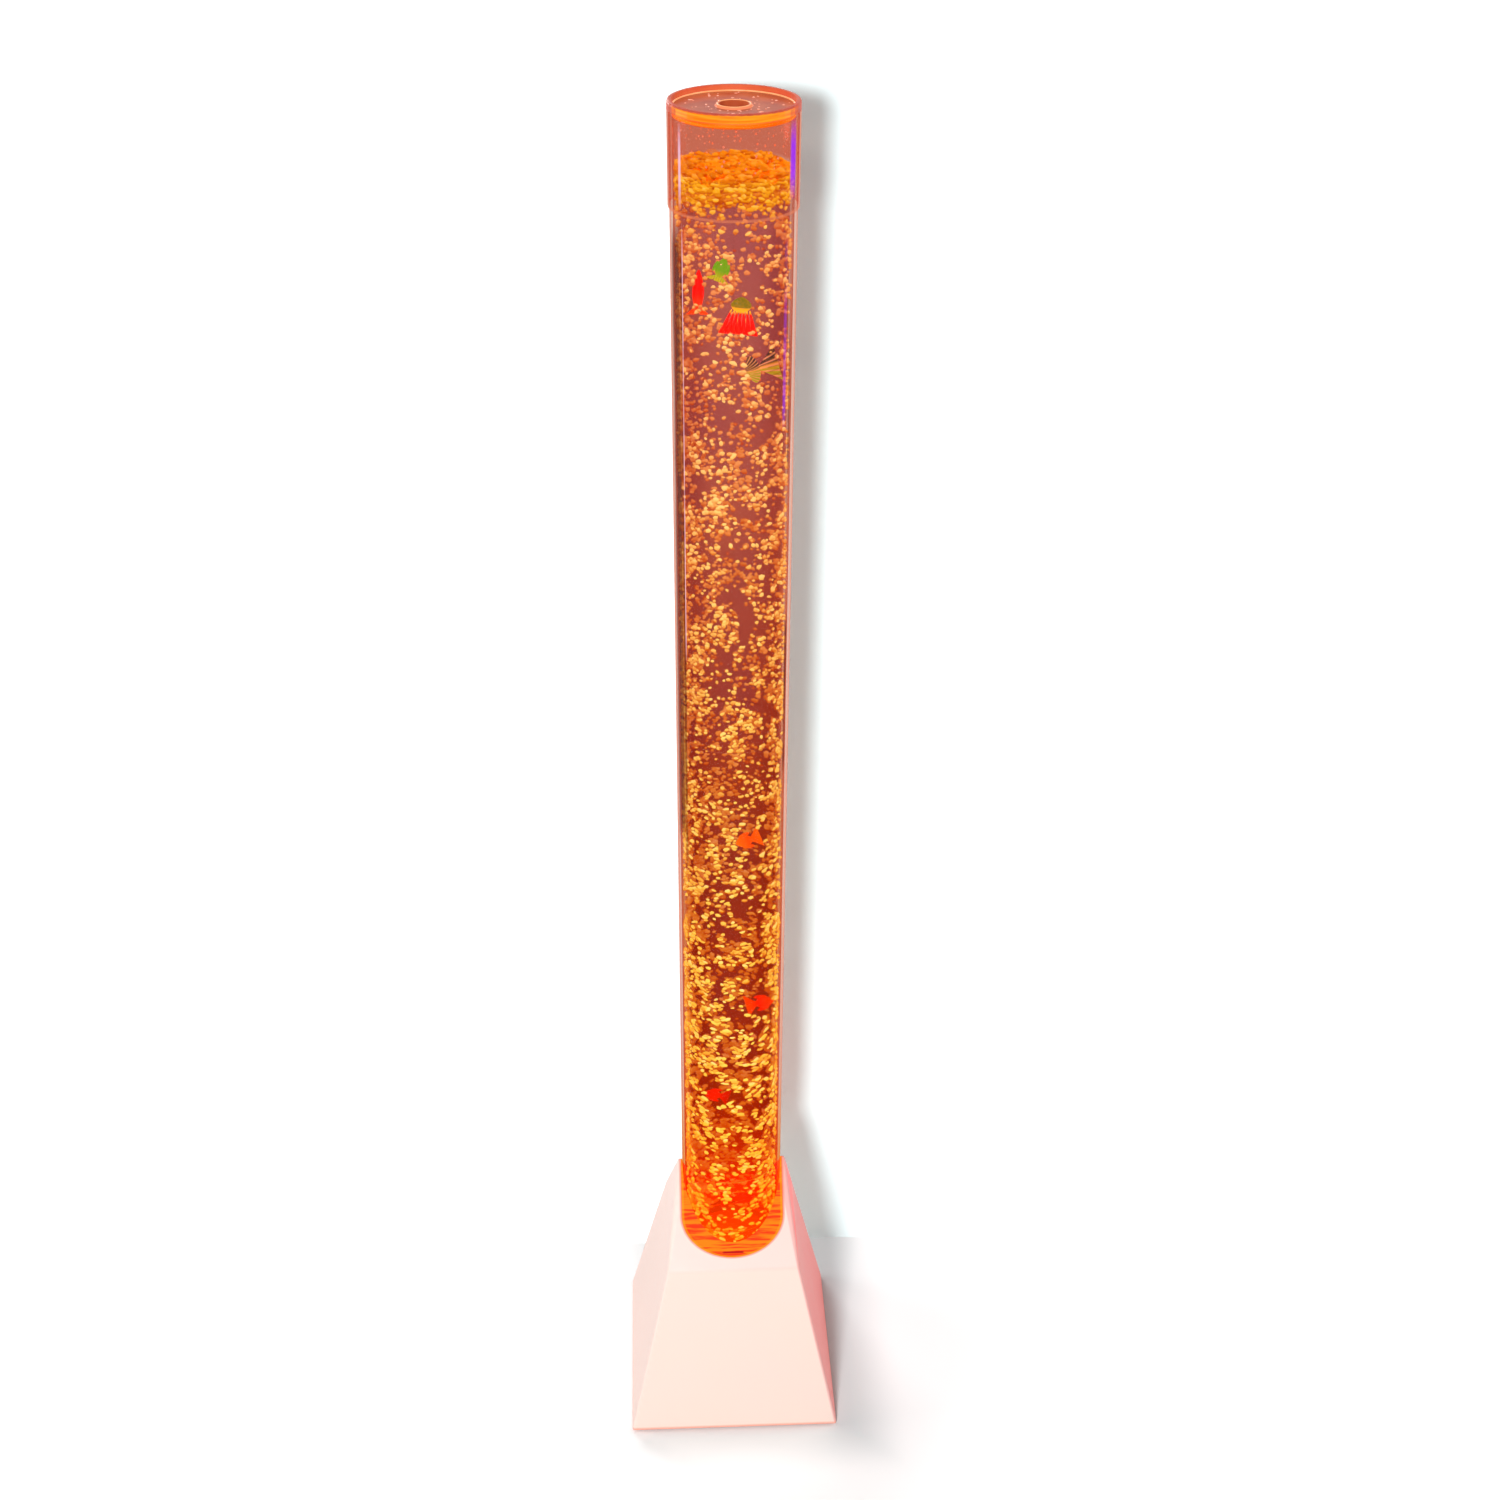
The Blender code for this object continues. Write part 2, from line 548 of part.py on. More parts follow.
def make_lid(mats):
    """Make the lid that lifts off: a clear sleeve over the tube, and a disc sunk in a raised rim."""
    band("lid_sleeve", SLEEVE_INSIDE, SLEEVE_RADIUS, TUBE_TOP - SLEEVE_LENGTH, TUBE_TOP, mats["clear"])
    top = LID_LOW + LID_RIM_HEIGHT
    face = top - LID_RECESS
    low = face - LID_DISC_THICK
    lip = LID_HOLE_RADIUS + LID_LIP_WIDTH
    disc = TUBE_INSIDE - GAP
    rim = SLEEVE_RADIUS - LID_RIM_WIDTH
    mid = LID_SHOULDER * (1.0 - math.sqrt(0.5))
    turned("lid_plate", ((LID_HOLE_RADIUS, low), (disc, low), (disc, LID_LOW),
                         (SLEEVE_RADIUS, LID_LOW), (SLEEVE_RADIUS, top - LID_SHOULDER),
                         (SLEEVE_RADIUS - mid, top - mid), (SLEEVE_RADIUS - LID_SHOULDER, top),
                         (rim, top), (rim, face), (lip, face), (lip, face + LID_LIP_HEIGHT),
                         (LID_HOLE_RADIUS, face + LID_LIP_HEIGHT)), mats["clear"], ring=True)


def make_pump(mats):
    """Make the air pump: case, coil, swinging arm with its magnet, diaphragm and valve block."""
    x_low = -PUMP_OFFSET - PUMP_WIDTH / 2.0
    x_high = -PUMP_OFFSET + PUMP_WIDTH / 2.0
    y_half = PUMP_LENGTH / 2.0
    mat_low = PLATE_TOP + GAP
    case_low = mat_low + MAT_THICK + GAP
    case_top = case_low + PUMP_HEIGHT
    floor = case_low + PUMP_WALL + GAP
    mid = floor + COIL_SIZE / 2.0
    inner_high = x_high - PUMP_WALL
    box("pump_mat", (x_low + MAT_INSET, MAT_INSET - y_half, mat_low),
        (x_high - MAT_INSET, y_half - MAT_INSET, mat_low + MAT_THICK), mats["rubber"])
    case = box("pump_case", (x_low, -y_half, case_low), (x_high, y_half, case_top), mats["dark"])
    hollow = box("cut_pump_hollow", (x_low + PUMP_WALL, PUMP_WALL - y_half, case_low + PUMP_WALL),
                 (inner_high, y_half - PUMP_WALL, case_top + OVERRUN), None)
    boolean(case, guide(hollow), "DIFFERENCE")
    box("pump_lid", (x_low, -y_half, case_top + GAP), (x_high, y_half, case_top + GAP + PUMP_LID),
        mats["dark"])

    # valve block against the case's inner side wall, with its nozzle through that wall
    block_high = inner_high - GAP
    block_low = block_high - BLOCK_DEPTH
    block = box("valve_block", (block_low, -BLOCK_PLACE - BLOCK_WIDTH / 2.0, floor),
                (block_high, -BLOCK_PLACE + BLOCK_WIDTH / 2.0, floor + COIL_SIZE), mats["shell"])
    turn = (0.0, math.pi / 2.0, 0.0)
    nozzle_end = x_high + NOZZLE_REACH
    axle = (0.0, -BLOCK_PLACE, mid)
    nozzle = rod("cut_nozzle", NOZZLE_RADIUS, block_high - OVERRUN, nozzle_end, None, SMALL_STEPS, axle)
    nozzle.rotation_euler = turn
    boolean(block, guide(nozzle), "UNION")
    port = rod("cut_nozzle_port", NOZZLE_RADIUS + GAP, inner_high - OVERRUN, x_high + OVERRUN,
               None, SMALL_STEPS, axle)
    port.rotation_euler = turn
    boolean(case, guide(port), "DIFFERENCE")
    skin_high = block_low - GAP
    skin_low = skin_high - DIAPHRAGM_THICK
    skin = rod("diaphragm", DIAPHRAGM_RADIUS, skin_low, skin_high, mats["rubber"], MEDIUM_STEPS, axle)
    skin.rotation_euler = turn
    push_high = skin_low - PUSHER_STROKE
    push_low = push_high - PUSHER_LENGTH
    pusher = rod("pump_pusher", PUSHER_RADIUS, push_low, push_high, mats["dark"], SMALL_STEPS, axle)
    pusher.rotation_euler = turn

    # arm: its eye turns on the pin, its far end carries the magnet
    arm_high = push_low - GAP
    arm_low = arm_high - ARM_THICK
    pin_x = (arm_low + arm_high) / 2.0
    spot = Vector((pin_x, -PIN_PLACE, 0.0))
    rod("arm_pin", PIN_RADIUS, floor, case_top - PUMP_WALL, mats["steel"], SMALL_STEPS, spot)
    magnet_far = COIL_PLACE + MAGNET_WIDTH / 2.0
    bm = bmesh.new()
    bmesh.ops.create_cube(bm, size=1.0)
    bmesh.ops.scale(bm, vec=(ARM_THICK, PIN_PLACE + magnet_far, ARM_HEIGHT), verts=bm.verts)
    bmesh.ops.translate(bm, vec=(0.0, (PIN_PLACE + magnet_far) / 2.0, 0.0), verts=bm.verts)
    arm = link("pump_arm", bm, mats["shell"], (pin_x, -PIN_PLACE, mid), smooth=False)
    half = ARM_HEIGHT / 2.0
    eye = rod("cut_arm_eye", ARM_EYE_RADIUS, -half, half, None, SMALL_STEPS, (0.0, 0.0, 0.0), arm)
    boolean(arm, guide(eye), "UNION")
    hole = rod("cut_arm_hole", PIN_RADIUS + GAP, -half - OVERRUN, half + OVERRUN, None, SMALL_STEPS,
               (0.0, 0.0, 0.0), arm)
    boolean(arm, guide(hole), "DIFFERENCE")
    box("pump_magnet", (arm_high + GAP, COIL_PLACE - MAGNET_WIDTH / 2.0, mid - half),
        (arm_high + GAP + MAGNET_THICK, magnet_far, mid + half), mats["steel"])

    # coil with its core, facing the magnet
    wind_high = inner_high - GAP
    winding = box("coil_winding", (wind_high - COIL_DEPTH, COIL_PLACE - COIL_SIZE / 2.0, floor),
                  (wind_high, COIL_PLACE + COIL_SIZE / 2.0, floor + COIL_SIZE), mats["copper"])
    core_half = CORE_SIZE / 2.0
    room = core_half + GAP
    tunnel = box("cut_coil", (wind_high - COIL_DEPTH - OVERRUN, COIL_PLACE - room, mid - room),
                 (wind_high + OVERRUN, COIL_PLACE + room, mid + room), None)
    boolean(winding, guide(tunnel), "DIFFERENCE")
    box("coil_core", (wind_high - CORE_LENGTH, COIL_PLACE - core_half, mid - core_half),
        (wind_high, COIL_PLACE + core_half, mid + core_half), mats["steel"])

    # check valve on the axis, and the two hoses
    low = VALVE_HEIGHT
    chamber = BALL_RADIUS + BALL_ROOM
    chamber_low = low + VALVE_NECK + VALVE_WEB
    chamber_top = chamber_low + 2.0 * BALL_RADIUS + BALL_TRAVEL + 2.0 * GAP
    high = chamber_top + VALVE_WEB + VALVE_NECK
    turned("check_valve", ((VALVE_BORE, low), (NOZZLE_RADIUS, low), (NOZZLE_RADIUS, low + VALVE_NECK),
                           (VALVE_RADIUS, low + VALVE_NECK), (VALVE_RADIUS, high - VALVE_NECK),
                           (NOZZLE_RADIUS, high - VALVE_NECK), (NOZZLE_RADIUS, high),
                           (VALVE_BORE, high), (VALVE_BORE, chamber_top), (chamber, chamber_top),
                           (chamber, chamber_low), (VALVE_BORE, chamber_low)),
           mats["clear"], MEDIUM_STEPS, True)
    ball = bmesh.new()
    bmesh.ops.create_uvsphere(ball, u_segments=SMALL_STEPS, v_segments=SMALL_STEPS // 2 + 2,
                              radius=BALL_RADIUS)
    link("valve_ball", ball, mats["steel"], (0.0, 0.0, chamber_low + GAP + BALL_RADIUS))
    start = Vector((nozzle_end + GAP, -BLOCK_PLACE, mid))
    end = Vector((0.0, 0.0, low - GAP))
    lead_out = Vector((HOSE_LEAD, 0.0, 0.0))
    lead_in = Vector((0.0, 0.0, HOSE_LEAD))
    pull_out = Vector((HOSE_PULL_OUT, 0.0, 0.0))
    pull_in = Vector((0.0, 0.0, HOSE_PULL_IN))
    route = bezier(start + lead_out, start + pull_out, end - pull_in, end - lead_in, HOSE_POINTS)
    hose("pump_hose", [start] + route + [end], mats["clear"])
    hose("riser_hose", [Vector((0.0, 0.0, high + GAP)),
                        Vector((0.0, 0.0, SEAT_LOW - INLET_DROP - GAP))], mats["clear"])


def make_board(mats):
    """Make the control board on its spacer, with its driver chip."""
    half_width = BOARD_WIDTH / 2.0
    half_length = BOARD_LENGTH / 2.0
    low = PLATE_TOP + GAP
    board_low = low + SPACER_HEIGHT + GAP
    board_top = board_low + BOARD_THICK
    box("board_spacer", (BOARD_OFFSET - half_width + SPACER_INSET, SPACER_INSET - half_length, low),
        (BOARD_OFFSET + half_width - SPACER_INSET, half_length - SPACER_INSET, low + SPACER_HEIGHT),
        mats["dark"])
    box("control_board", (BOARD_OFFSET - half_width, -half_length, board_low),
        (BOARD_OFFSET + half_width, half_length, board_top), mats["board"])
    half_chip = CHIP_SIZE / 2.0
    box("driver_chip", (BOARD_OFFSET - half_chip, -half_chip, board_top + GAP),
        (BOARD_OFFSET + half_chip, half_chip, board_top + GAP + CHIP_THICK), mats["dark"])


def make_panel(mats, shell):
    """Make the back panel with its buttons, receiver window and power jack."""
    normal = Vector((0.0, math.cos(WALL_TILT), math.sin(WALL_TILT)))
    upward = Vector((0.0, -math.sin(WALL_TILT), math.cos(WALL_TILT)))
    across = upward.cross(normal)
    frame = bpy.data.objects.new("panel_frame", None)
    bpy.context.scene.collection.objects.link(frame)
    frame.location = (0.0, wall_half(PANEL_HEIGHT), PANEL_HEIGHT)
    frame.rotation_euler = Matrix((across, upward, normal)).transposed().to_euler()

    half_x = PANEL_WIDTH / 2.0
    half_y = PANEL_TALL / 2.0
    body_x = half_x - PANEL_RIM
    body_y = half_y - PANEL_RIM
    face = GAP + PANEL_THICK
    panel = box("control_panel", (-half_x, -half_y, GAP), (half_x, half_y, face), mats["dark"], frame)
    body = box("cut_panel_body", (-body_x, -body_y, -PANEL_DEPTH),
               (body_x, body_y, GAP + PANEL_THICK / 2.0), None, frame)
    boolean(panel, guide(body), "UNION")
    window = box("cut_panel_window", (-body_x - GAP, -body_y - GAP, -PANEL_DEPTH),
                 (body_x + GAP, body_y + GAP, PANEL_DEPTH), None, frame)
    boolean(shell, guide(window), "DIFFERENCE")
    seats = ((POWER_PLACE, BUTTON_RADIUS), (COLOUR_PLACE, BUTTON_RADIUS),
             (WINDOW_PLACE, WINDOW_RADIUS), (JACK_PLACE, JACK_RADIUS))
    for i, (place, radius) in enumerate(seats):
        hole = rod("cut_panel_hole_%d" % (i + 1), radius + GAP, -PANEL_DEPTH - OVERRUN, face + OVERRUN,
                   None, MEDIUM_STEPS, (place, 0.0, 0.0), frame)
        boolean(panel, guide(hole), "DIFFERENCE")
    top = face + BUTTON_RISE
    for name, place, mat in (("power_button", POWER_PLACE, mats["red"]),
                             ("colour_button", COLOUR_PLACE, mats["shell"])):
        rod(name, BUTTON_RADIUS, top - BUTTON_LENGTH, top, mat, MEDIUM_STEPS, (place, 0.0, 0.0), frame)
    rear = REAR_SINK - PANEL_DEPTH
    rod("receiver_window", WINDOW_RADIUS, rear, face + WINDOW_RISE, mats["smoke"], SMALL_STEPS,
        (WINDOW_PLACE, 0.0, 0.0), frame)
    mouth = face + JACK_RISE
    turned("power_jack", ((0.0, rear), (JACK_RADIUS, rear), (JACK_RADIUS, mouth), (JACK_BORE, mouth),
                          (JACK_BORE, rear + JACK_BACK), (JACK_PIN, rear + JACK_BACK),
                          (JACK_PIN, mouth - JACK_PIN_SINK), (0.0, mouth - JACK_PIN_SINK)),
           mats["steel"], MEDIUM_STEPS, False, (JACK_PLACE, 0.0, 0.0), frame)
    box("switch_board", (-body_x, -body_y, -PANEL_DEPTH - GAP - BOARD_THICK),
        (body_x, body_y, -PANEL_DEPTH - GAP), mats["board"], frame)


def make_fish(mats):
    """Make the fish, each one solid: a flattened body with its tail and fins."""
    for name, length, height, side, inset, lane, depth, heading, colour in FISH_TABLE:
        bm = bmesh.new()
        bmesh.ops.create_uvsphere(bm, u_segments=SMALL_STEPS + 2, v_segments=SMALL_STEPS - 2, radius=1.0)
        bmesh.ops.scale(bm, vec=(length * BODY_LENGTH_SHARE, FISH_THICK / 2.0,
                                 height * BODY_HEIGHT_SHARE), verts=bm.verts)
        bmesh.ops.translate(bm, vec=(length * BODY_CENTRE_SHARE, 0.0, 0.0), verts=bm.verts)
        place = (side * (TUBE_INSIDE - inset), lane * LANE_SHARE * TUBE_INSIDE,
                 FLOOR_TOP + depth * WATER_DEPTH)
        mat = plastic(name + "_skin", colour, 0.45)
        fish = link(name, bm, mat, place)
        for label, shares in (("tail", TAIL_SHARES), ("dorsal", DORSAL_SHARES), ("belly", BELLY_SHARES)):
            points = [(x * length, z * height) for x, z in shares]
            fin = prism("cut_%s_%s" % (name, label), points, -FIN_THICK / 2.0, FIN_THICK / 2.0, None,
                        (0.0, 0.0, 0.0), fish)
            fin.rotation_euler = (math.pi / 2.0, 0.0, 0.0)
            boolean(fish, guide(fin), "UNION")
        fish.rotation_euler = (0.0, -math.radians(heading), 0.0)


def main():
    """Build the whole model."""
    clear_scene()
    mats = {
        "shell": plastic("shell_plastic", (0.93, 0.90, 0.89), 0.35),
        "dark": plastic("dark_plastic", (0.05, 0.05, 0.055), 0.5),
        "rubber": plastic("black_rubber", (0.03, 0.03, 0.03), 0.8),
        "steel": plastic("steel", (0.62, 0.62, 0.63), 0.3, 1.0),
        "aluminium": plastic("aluminium", (0.75, 0.76, 0.78), 0.35, 1.0),
        "copper": plastic("copper_wire", (0.72, 0.33, 0.15), 0.4, 1.0),
        "board": plastic("circuit_board", (0.02, 0.24, 0.10), 0.5),
        "clear": plastic("clear_acrylic", (0.96, 0.97, 0.98), 0.05, 0.0, 1.0),
        "collar": plastic("frosted_collar", (0.98, 0.62, 0.36), 0.4, 0.0, 0.4),
        "glow": plastic("lamp_lens", (1.0, 0.62, 0.25), 0.3, 0.0, 0.5),
        "red": plastic("red_plastic", (0.70, 0.05, 0.04), 0.4),
        "smoke": plastic("smoked_window", (0.06, 0.01, 0.01), 0.15),
    }
    shell = make_base(mats)
    make_support(mats)
    make_tube(mats)
    make_lid(mats)
    make_pump(mats)
    make_board(mats)
    make_panel(mats, shell)
    make_fish(mats)


main()
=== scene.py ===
"""Dresses the sensory bubble tube: lit water, foam, bubbles, fish, the pale base, the lid and every part inside."""

import logging
import math
import random
from dataclasses import dataclass
from enum import Enum
from typing import Sequence, Tuple

import bmesh
import bpy
from mathutils import Euler, Matrix, Vector, noise


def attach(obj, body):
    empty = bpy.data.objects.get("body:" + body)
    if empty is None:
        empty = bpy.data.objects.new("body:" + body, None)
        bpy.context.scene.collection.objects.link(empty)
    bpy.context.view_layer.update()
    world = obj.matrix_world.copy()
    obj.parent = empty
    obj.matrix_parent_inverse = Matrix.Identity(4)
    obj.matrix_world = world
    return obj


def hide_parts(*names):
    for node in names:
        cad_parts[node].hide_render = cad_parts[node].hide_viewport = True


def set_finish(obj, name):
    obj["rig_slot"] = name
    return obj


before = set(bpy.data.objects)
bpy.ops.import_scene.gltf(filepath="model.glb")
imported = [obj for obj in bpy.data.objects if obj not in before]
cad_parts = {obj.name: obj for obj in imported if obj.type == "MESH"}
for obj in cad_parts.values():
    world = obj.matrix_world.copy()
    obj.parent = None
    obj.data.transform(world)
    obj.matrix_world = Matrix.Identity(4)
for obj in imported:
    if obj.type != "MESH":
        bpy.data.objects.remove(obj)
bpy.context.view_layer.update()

Colour = Tuple[float, float, float]
Point = Tuple[float, float, float]
Pair = Tuple[float, float]
Stops = Tuple[Tuple[float, Colour], ...]
Mesh = bmesh.types.BMesh
Piece = bpy.types.Object
Material = bpy.types.Material
LOG = logging.getLogger("bubble_tube")

WATER_LOW, WATER_HIGH = 0.24, 1.93
NEAR_AXIS = 0.0001
SHOULDER, SHOULDER_HALF = 0.2802, 0.1005
FOOT_HALF, WALL_RUN = 0.1605, 0.215672
OPENING_HALF, OPENING_CENTRE = 0.0780, 0.0110
COLLAR_HALF, BELOW_OPENING = 0.0777, 0.27
ARCH_SPRING, ARCH_DROP, ROOF_SLOPE = 0.3480, 0.0520, 1.37313
WHITE = (1.0, 1.0, 1.0)


# ---- meshes

def clean(bm: Mesh, merge: float = 1e-5) -> None:
    """Merges points closer than merge metres and turns every face outwards."""
    bmesh.ops.remove_doubles(bm, verts=bm.verts[:], dist=merge)
    bmesh.ops.recalc_face_normals(bm, faces=bm.faces[:])


def to_object(bm: Mesh, name: str, material: Material, smooth: bool = True) -> Piece:
    """Makes a scene object of a finished mesh.

    Args:
        bm: The mesh, which is used up.
        name: The piece's name.
        material: Its finish.
        smooth: Whether its faces shade smoothly.

    Returns:
        The object, at the origin.
    """
    for face in bm.faces:
        face.smooth = smooth
    mesh = bpy.data.meshes.new(name)
    bm.to_mesh(mesh)
    bm.free()
    piece = bpy.data.objects.new(name, mesh)
    bpy.context.scene.collection.objects.link(piece)
    mesh.materials.append(material)
    return piece


def lathe(profile: Sequence[Pair], steps: int) -> Mesh:
    """Turns a closed profile once round the vertical axis.

    Args:
        profile: Its points, each a radius and a height.
        steps: How many faces go round.

    Returns:
        The turned mesh, with its normals outwards.
    """
    bm = bmesh.new()
    verts = [bm.verts.new((r, 0.0, z)) for r, z in profile]
    edges = [bm.edges.new(pair) for pair in zip(verts, verts[1:])]
    edges.append(bm.edges.new((verts[-1], verts[0])))
    bmesh.ops.spin(bm, geom=verts + edges, cent=(0, 0, 0), axis=(0, 0, 1), dvec=(0, 0, 0), angle=math.tau,
                   steps=steps, use_merge=True, use_duplicate=False)
    clean(bm)
    return bm


def hoop(radius: float, thickness: float, height: float, steps: int = 120, sides: int = 8) -> Mesh:
    """Makes a level ring of round section.

    Args:
        radius: The ring's middle radius.
        thickness: The section's radius.
        height: Its height.
        steps: Faces round the ring.
        sides: Faces round the section.

    Returns:
        The ring's mesh.
    """
    turn = [math.tau * i / sides for i in range(sides)]
    return lathe([(radius + thickness * math.cos(a), height + thickness * math.sin(a)) for a in turn], steps)


def around(turn: float, reach: float, height: float) -> Vector:
    """Gives the point at a turn round the axis, a reach from it and a height."""
    return Vector((reach * math.cos(turn), reach * math.sin(turn), height))


def draw(dice: random.Random, *ranges: Pair) -> Tuple[float, ...]:
    """Draws one number from each range, in order."""
    return tuple(dice.uniform(low, high) for low, high in ranges)


# ---- the bench on which finishes are mixed

@dataclass(frozen=True)
class Wire:
    """What a node passes on: a number, a colour or a shader. Numbers take part in sums."""

    bench: "Bench"
    socket: bpy.types.NodeSocket

    def __add__(self, other: object) -> "Wire":
        """Adds a number."""
        return self.bench.sum("ADD", self, other)

    def __sub__(self, other: object) -> "Wire":
        """Takes a number away."""
        return self.bench.sum("SUBTRACT", self, other)

    def __rsub__(self, other: object) -> "Wire":
        """Takes this away from a number."""
        return self.bench.sum("SUBTRACT", other, self)

    def __mul__(self, other: object) -> "Wire":
        """Multiplies by a number."""
        return self.bench.sum("MULTIPLY", self, other)

    def __abs__(self) -> "Wire":
        """Drops the sign."""
        return self.bench.sum("ABSOLUTE", self)

    def span(self, low: object, high: float, to_low: float, to_high: float, soft: bool = False) -> "Wire":
        """Maps a number from one range to another, held inside it."""
        ends = {"Value": self, "From Min": low, "From Max": high, "To Min": to_low, "To Max": to_high}
        return self.bench.make("MapRange", ends, interpolation_type="SMOOTHSTEP" if soft else "LINEAR")

    def rise(self, low: float, high: float, top: float = 1.0, soft: bool = False) -> "Wire":
        """Goes from nothing at low to top at high."""
        return self.span(low, high, 0.0, top, soft)

    def fall(self, low: float, high: float, top: float = 1.0, soft: bool = False) -> "Wire":
        """Goes from top at low to nothing at high."""
        return self.span(low, high, top, 0.0, soft)

    def mix(self, first: object, second: object) -> "Wire":
        """Mixes two colours, with this as the second one's share."""
        return self.bench.mix(self, first, second)

    def blend(self, first: "Wire", second: "Wire") -> "Wire":
        """Mixes two shaders, with this as the second one's share."""
        return self.bench.blend(self, first, second)

    def ramp(self, *stops: Tuple[float, Colour]) -> "Wire":
        """Turns a number into a colour.

        Args:
            stops: Places from 0 to 1, each with its colour.

        Returns:
            The colour.
        """
        wire = self.bench.make("ValToRGB", {0: self})
        points = wire.socket.node.color_ramp.elements
        while len(points) < len(stops):
            points.new(0.5)
        for point, (place, _) in zip(points, stops):
            point.position = place
        for point, (_, colour) in zip(points, stops):
            point.color = (*colour, 1.0)
        return wire

    def bump(self, strength: float, depth: float) -> "Wire":
        """Gives a normal roughened by this height."""
        return self.bench.make("Bump", {"Strength": strength, "Distance": depth, "Height": self})

    def beside(self, name: str) -> "Wire":
        """Gives another output of the same node."""
        return Wire(self.bench, self.socket.node.outputs[name])


class Bench:
    """Builds the nodes of one material, or of the world."""

    def __init__(self, owner: bpy.types.ID) -> None:
        """Empties the owner's nodes and finds the place of each point.

        Args:
            owner: The material or the world whose nodes are built.
        """
        owner.use_nodes = True
        self.tree = owner.node_tree
        self.tree.nodes.clear()
        self.place = self.make("TexCoord", {}, "Object")
        self.x, self.y, self.z = (self.make("SeparateXYZ", {0: self.place}, axis) for axis in range(3))

    def make(self, kind: str, inputs: dict, output: object = 0, **settings: object) -> Wire:
        """Adds a node.

        Args:
            kind: The node's kind, less the ShaderNode that starts each one.
            inputs: A wire or a plain value for each input, by name or number.
            output: Which output is wanted.
            settings: The node's options.

        Returns:
            The wanted output.
        """
        node = self.tree.nodes.new("ShaderNode" + kind)
        for key, value in settings.items():
            setattr(node, key, value)
        for name, value in inputs.items():
            target = node.inputs[name]
            if isinstance(value, Wire):
                self.tree.links.new(value.socket, target)
            else:
                target.default_value = (*value, 1.0) if target.type == "RGBA" else value
        return Wire(self, node.outputs[output])

    def sum(self, kind: str, first: object, second: object = 0.0, clamp: bool = False) -> Wire:
        """Does one sum on numbers and gives its answer."""
        return self.make("Math", {0: first, 1: second}, operation=kind, use_clamp=clamp)

    def most(self, first: object, second: object) -> Wire:
        """Gives the larger of two numbers."""
        return self.sum("MAXIMUM", first, second)

    def length(self, first: Wire, second: Wire) -> Wire:
        """Gives the length of two sides at a right angle."""
        return self.sum("SQRT", first * first + second * second)

    def radius(self) -> Wire:
        """Gives the distance from the tube's axis."""
        return self.length(self.x, self.y)

    def arch(self, half: float, spring: float) -> Wire:
        """Gives the distance from the middle of an arch, stretched downwards so that the arch is round."""
        return self.length(self.x, self.most(spring - self.z, 0.0) * (half / ARCH_DROP))

    def water_height(self) -> Wire:
        """Gives how high in the water a point is, from 0 to 1."""
        return self.z.rise(WATER_LOW, WATER_HIGH)

    def upright(self) -> Wire:
        """Gives how far the surface faces upwards."""
        return self.make("SeparateXYZ", {0: self.make("NewGeometry", {}, "Normal")}, 2)

    def facing(self) -> Wire:
        """Gives how far the surface turns away from the camera."""
        return self.make("LayerWeight", {"Blend": 0.5}, "Facing")

    def ray(self, name: str) -> Wire:
        """Tells what kind of ray is looking."""
        return self.make("LightPath", {}, name)

    def seen(self) -> Wire:
        """Tells the rays that the camera sees by from those that only carry light."""
        indirect = self.most(self.ray("Is Glossy Ray"), self.ray("Is Transmission Ray"))
        return self.most(self.ray("Is Camera Ray"), indirect)

    def mark(self, name: str) -> Wire:
        """Gives a number that the mesh's points carry."""
        return self.make("Attribute", {}, "Fac", attribute_name=name)

    def mix(self, share: object, first: object, second: object) -> Wire:
        """Mixes two colours by a share."""
        return self.make("Mix", {0: share, 6: first, 7: second}, 2, data_type="RGBA")

    def stretch(self, scale: Point, shift: Point = (0, 0, 0)) -> Wire:
        """Gives the place stretched and shifted."""
        return self.make("Mapping", {"Vector": self.place, "Scale": scale, "Location": shift})

    def noise(self, scale: float, detail: float = 2.0, stretch: Point = (1, 1, 1), shift: Point = (0, 0, 0)) -> Wire:
        """Gives cloudy noise of a scale per metre, drawn out along the axes."""
        place = self.stretch(stretch, shift)
        return self.make("TexNoise", {"Vector": place, "Scale": scale, "Detail": detail})

    def cells(self, scale: float) -> Wire:
        """Gives the distance to scattered cell centres."""
        return self.make("TexVoronoi", {"Vector": self.stretch((1, 1, 1)), "Scale": scale}, "Distance")

    def solid(self, **sockets: object) -> Wire:
        """Adds a Principled shader with the given sockets, written with _ for a space."""
        return self.make("BsdfPrincipled", {key.replace("_", " "): value for key, value in sockets.items()})

    def blend(self, share: object, first: Wire, second: Wire) -> Wire:
        """Mixes two shaders by a share."""
        return self.make("MixShader", {0: share, 1: first, 2: second})

    def both(self, first: Wire, second: Wire) -> Wire:
        """Adds two shaders up."""
        return self.make("AddShader", {0: first, 1: second})

    def clear(self, tint: object) -> Wire:
        """Adds a see-through shader that tints what lies behind."""
        return self.make("BsdfTransparent", {0: tint})

    def glow(self, colour: object, strength: object = 1.0) -> Wire:
        """Adds a glowing shader."""
        return self.make("Emission", {0: colour, 1: strength})

    def shaded(self, skin: Wire, tint: Colour) -> Wire:
        """Lets light pass a skin with a tint, so that its shadow is thin."""
        return self.ray("Is Shadow Ray").blend(skin, self.clear(tint))

    def done(self, surface: Wire, kind: str = "OutputMaterial") -> None:
        """Joins the surface to the output."""
        self.tree.links.new(surface.socket, self.tree.nodes.new("ShaderNode" + kind).inputs[0])


def scaled(colour: Colour, share: float) -> Colour:
    """Makes a colour darker or brighter by a share."""
    return tuple(part * share for part in colour)


# ---- finishes

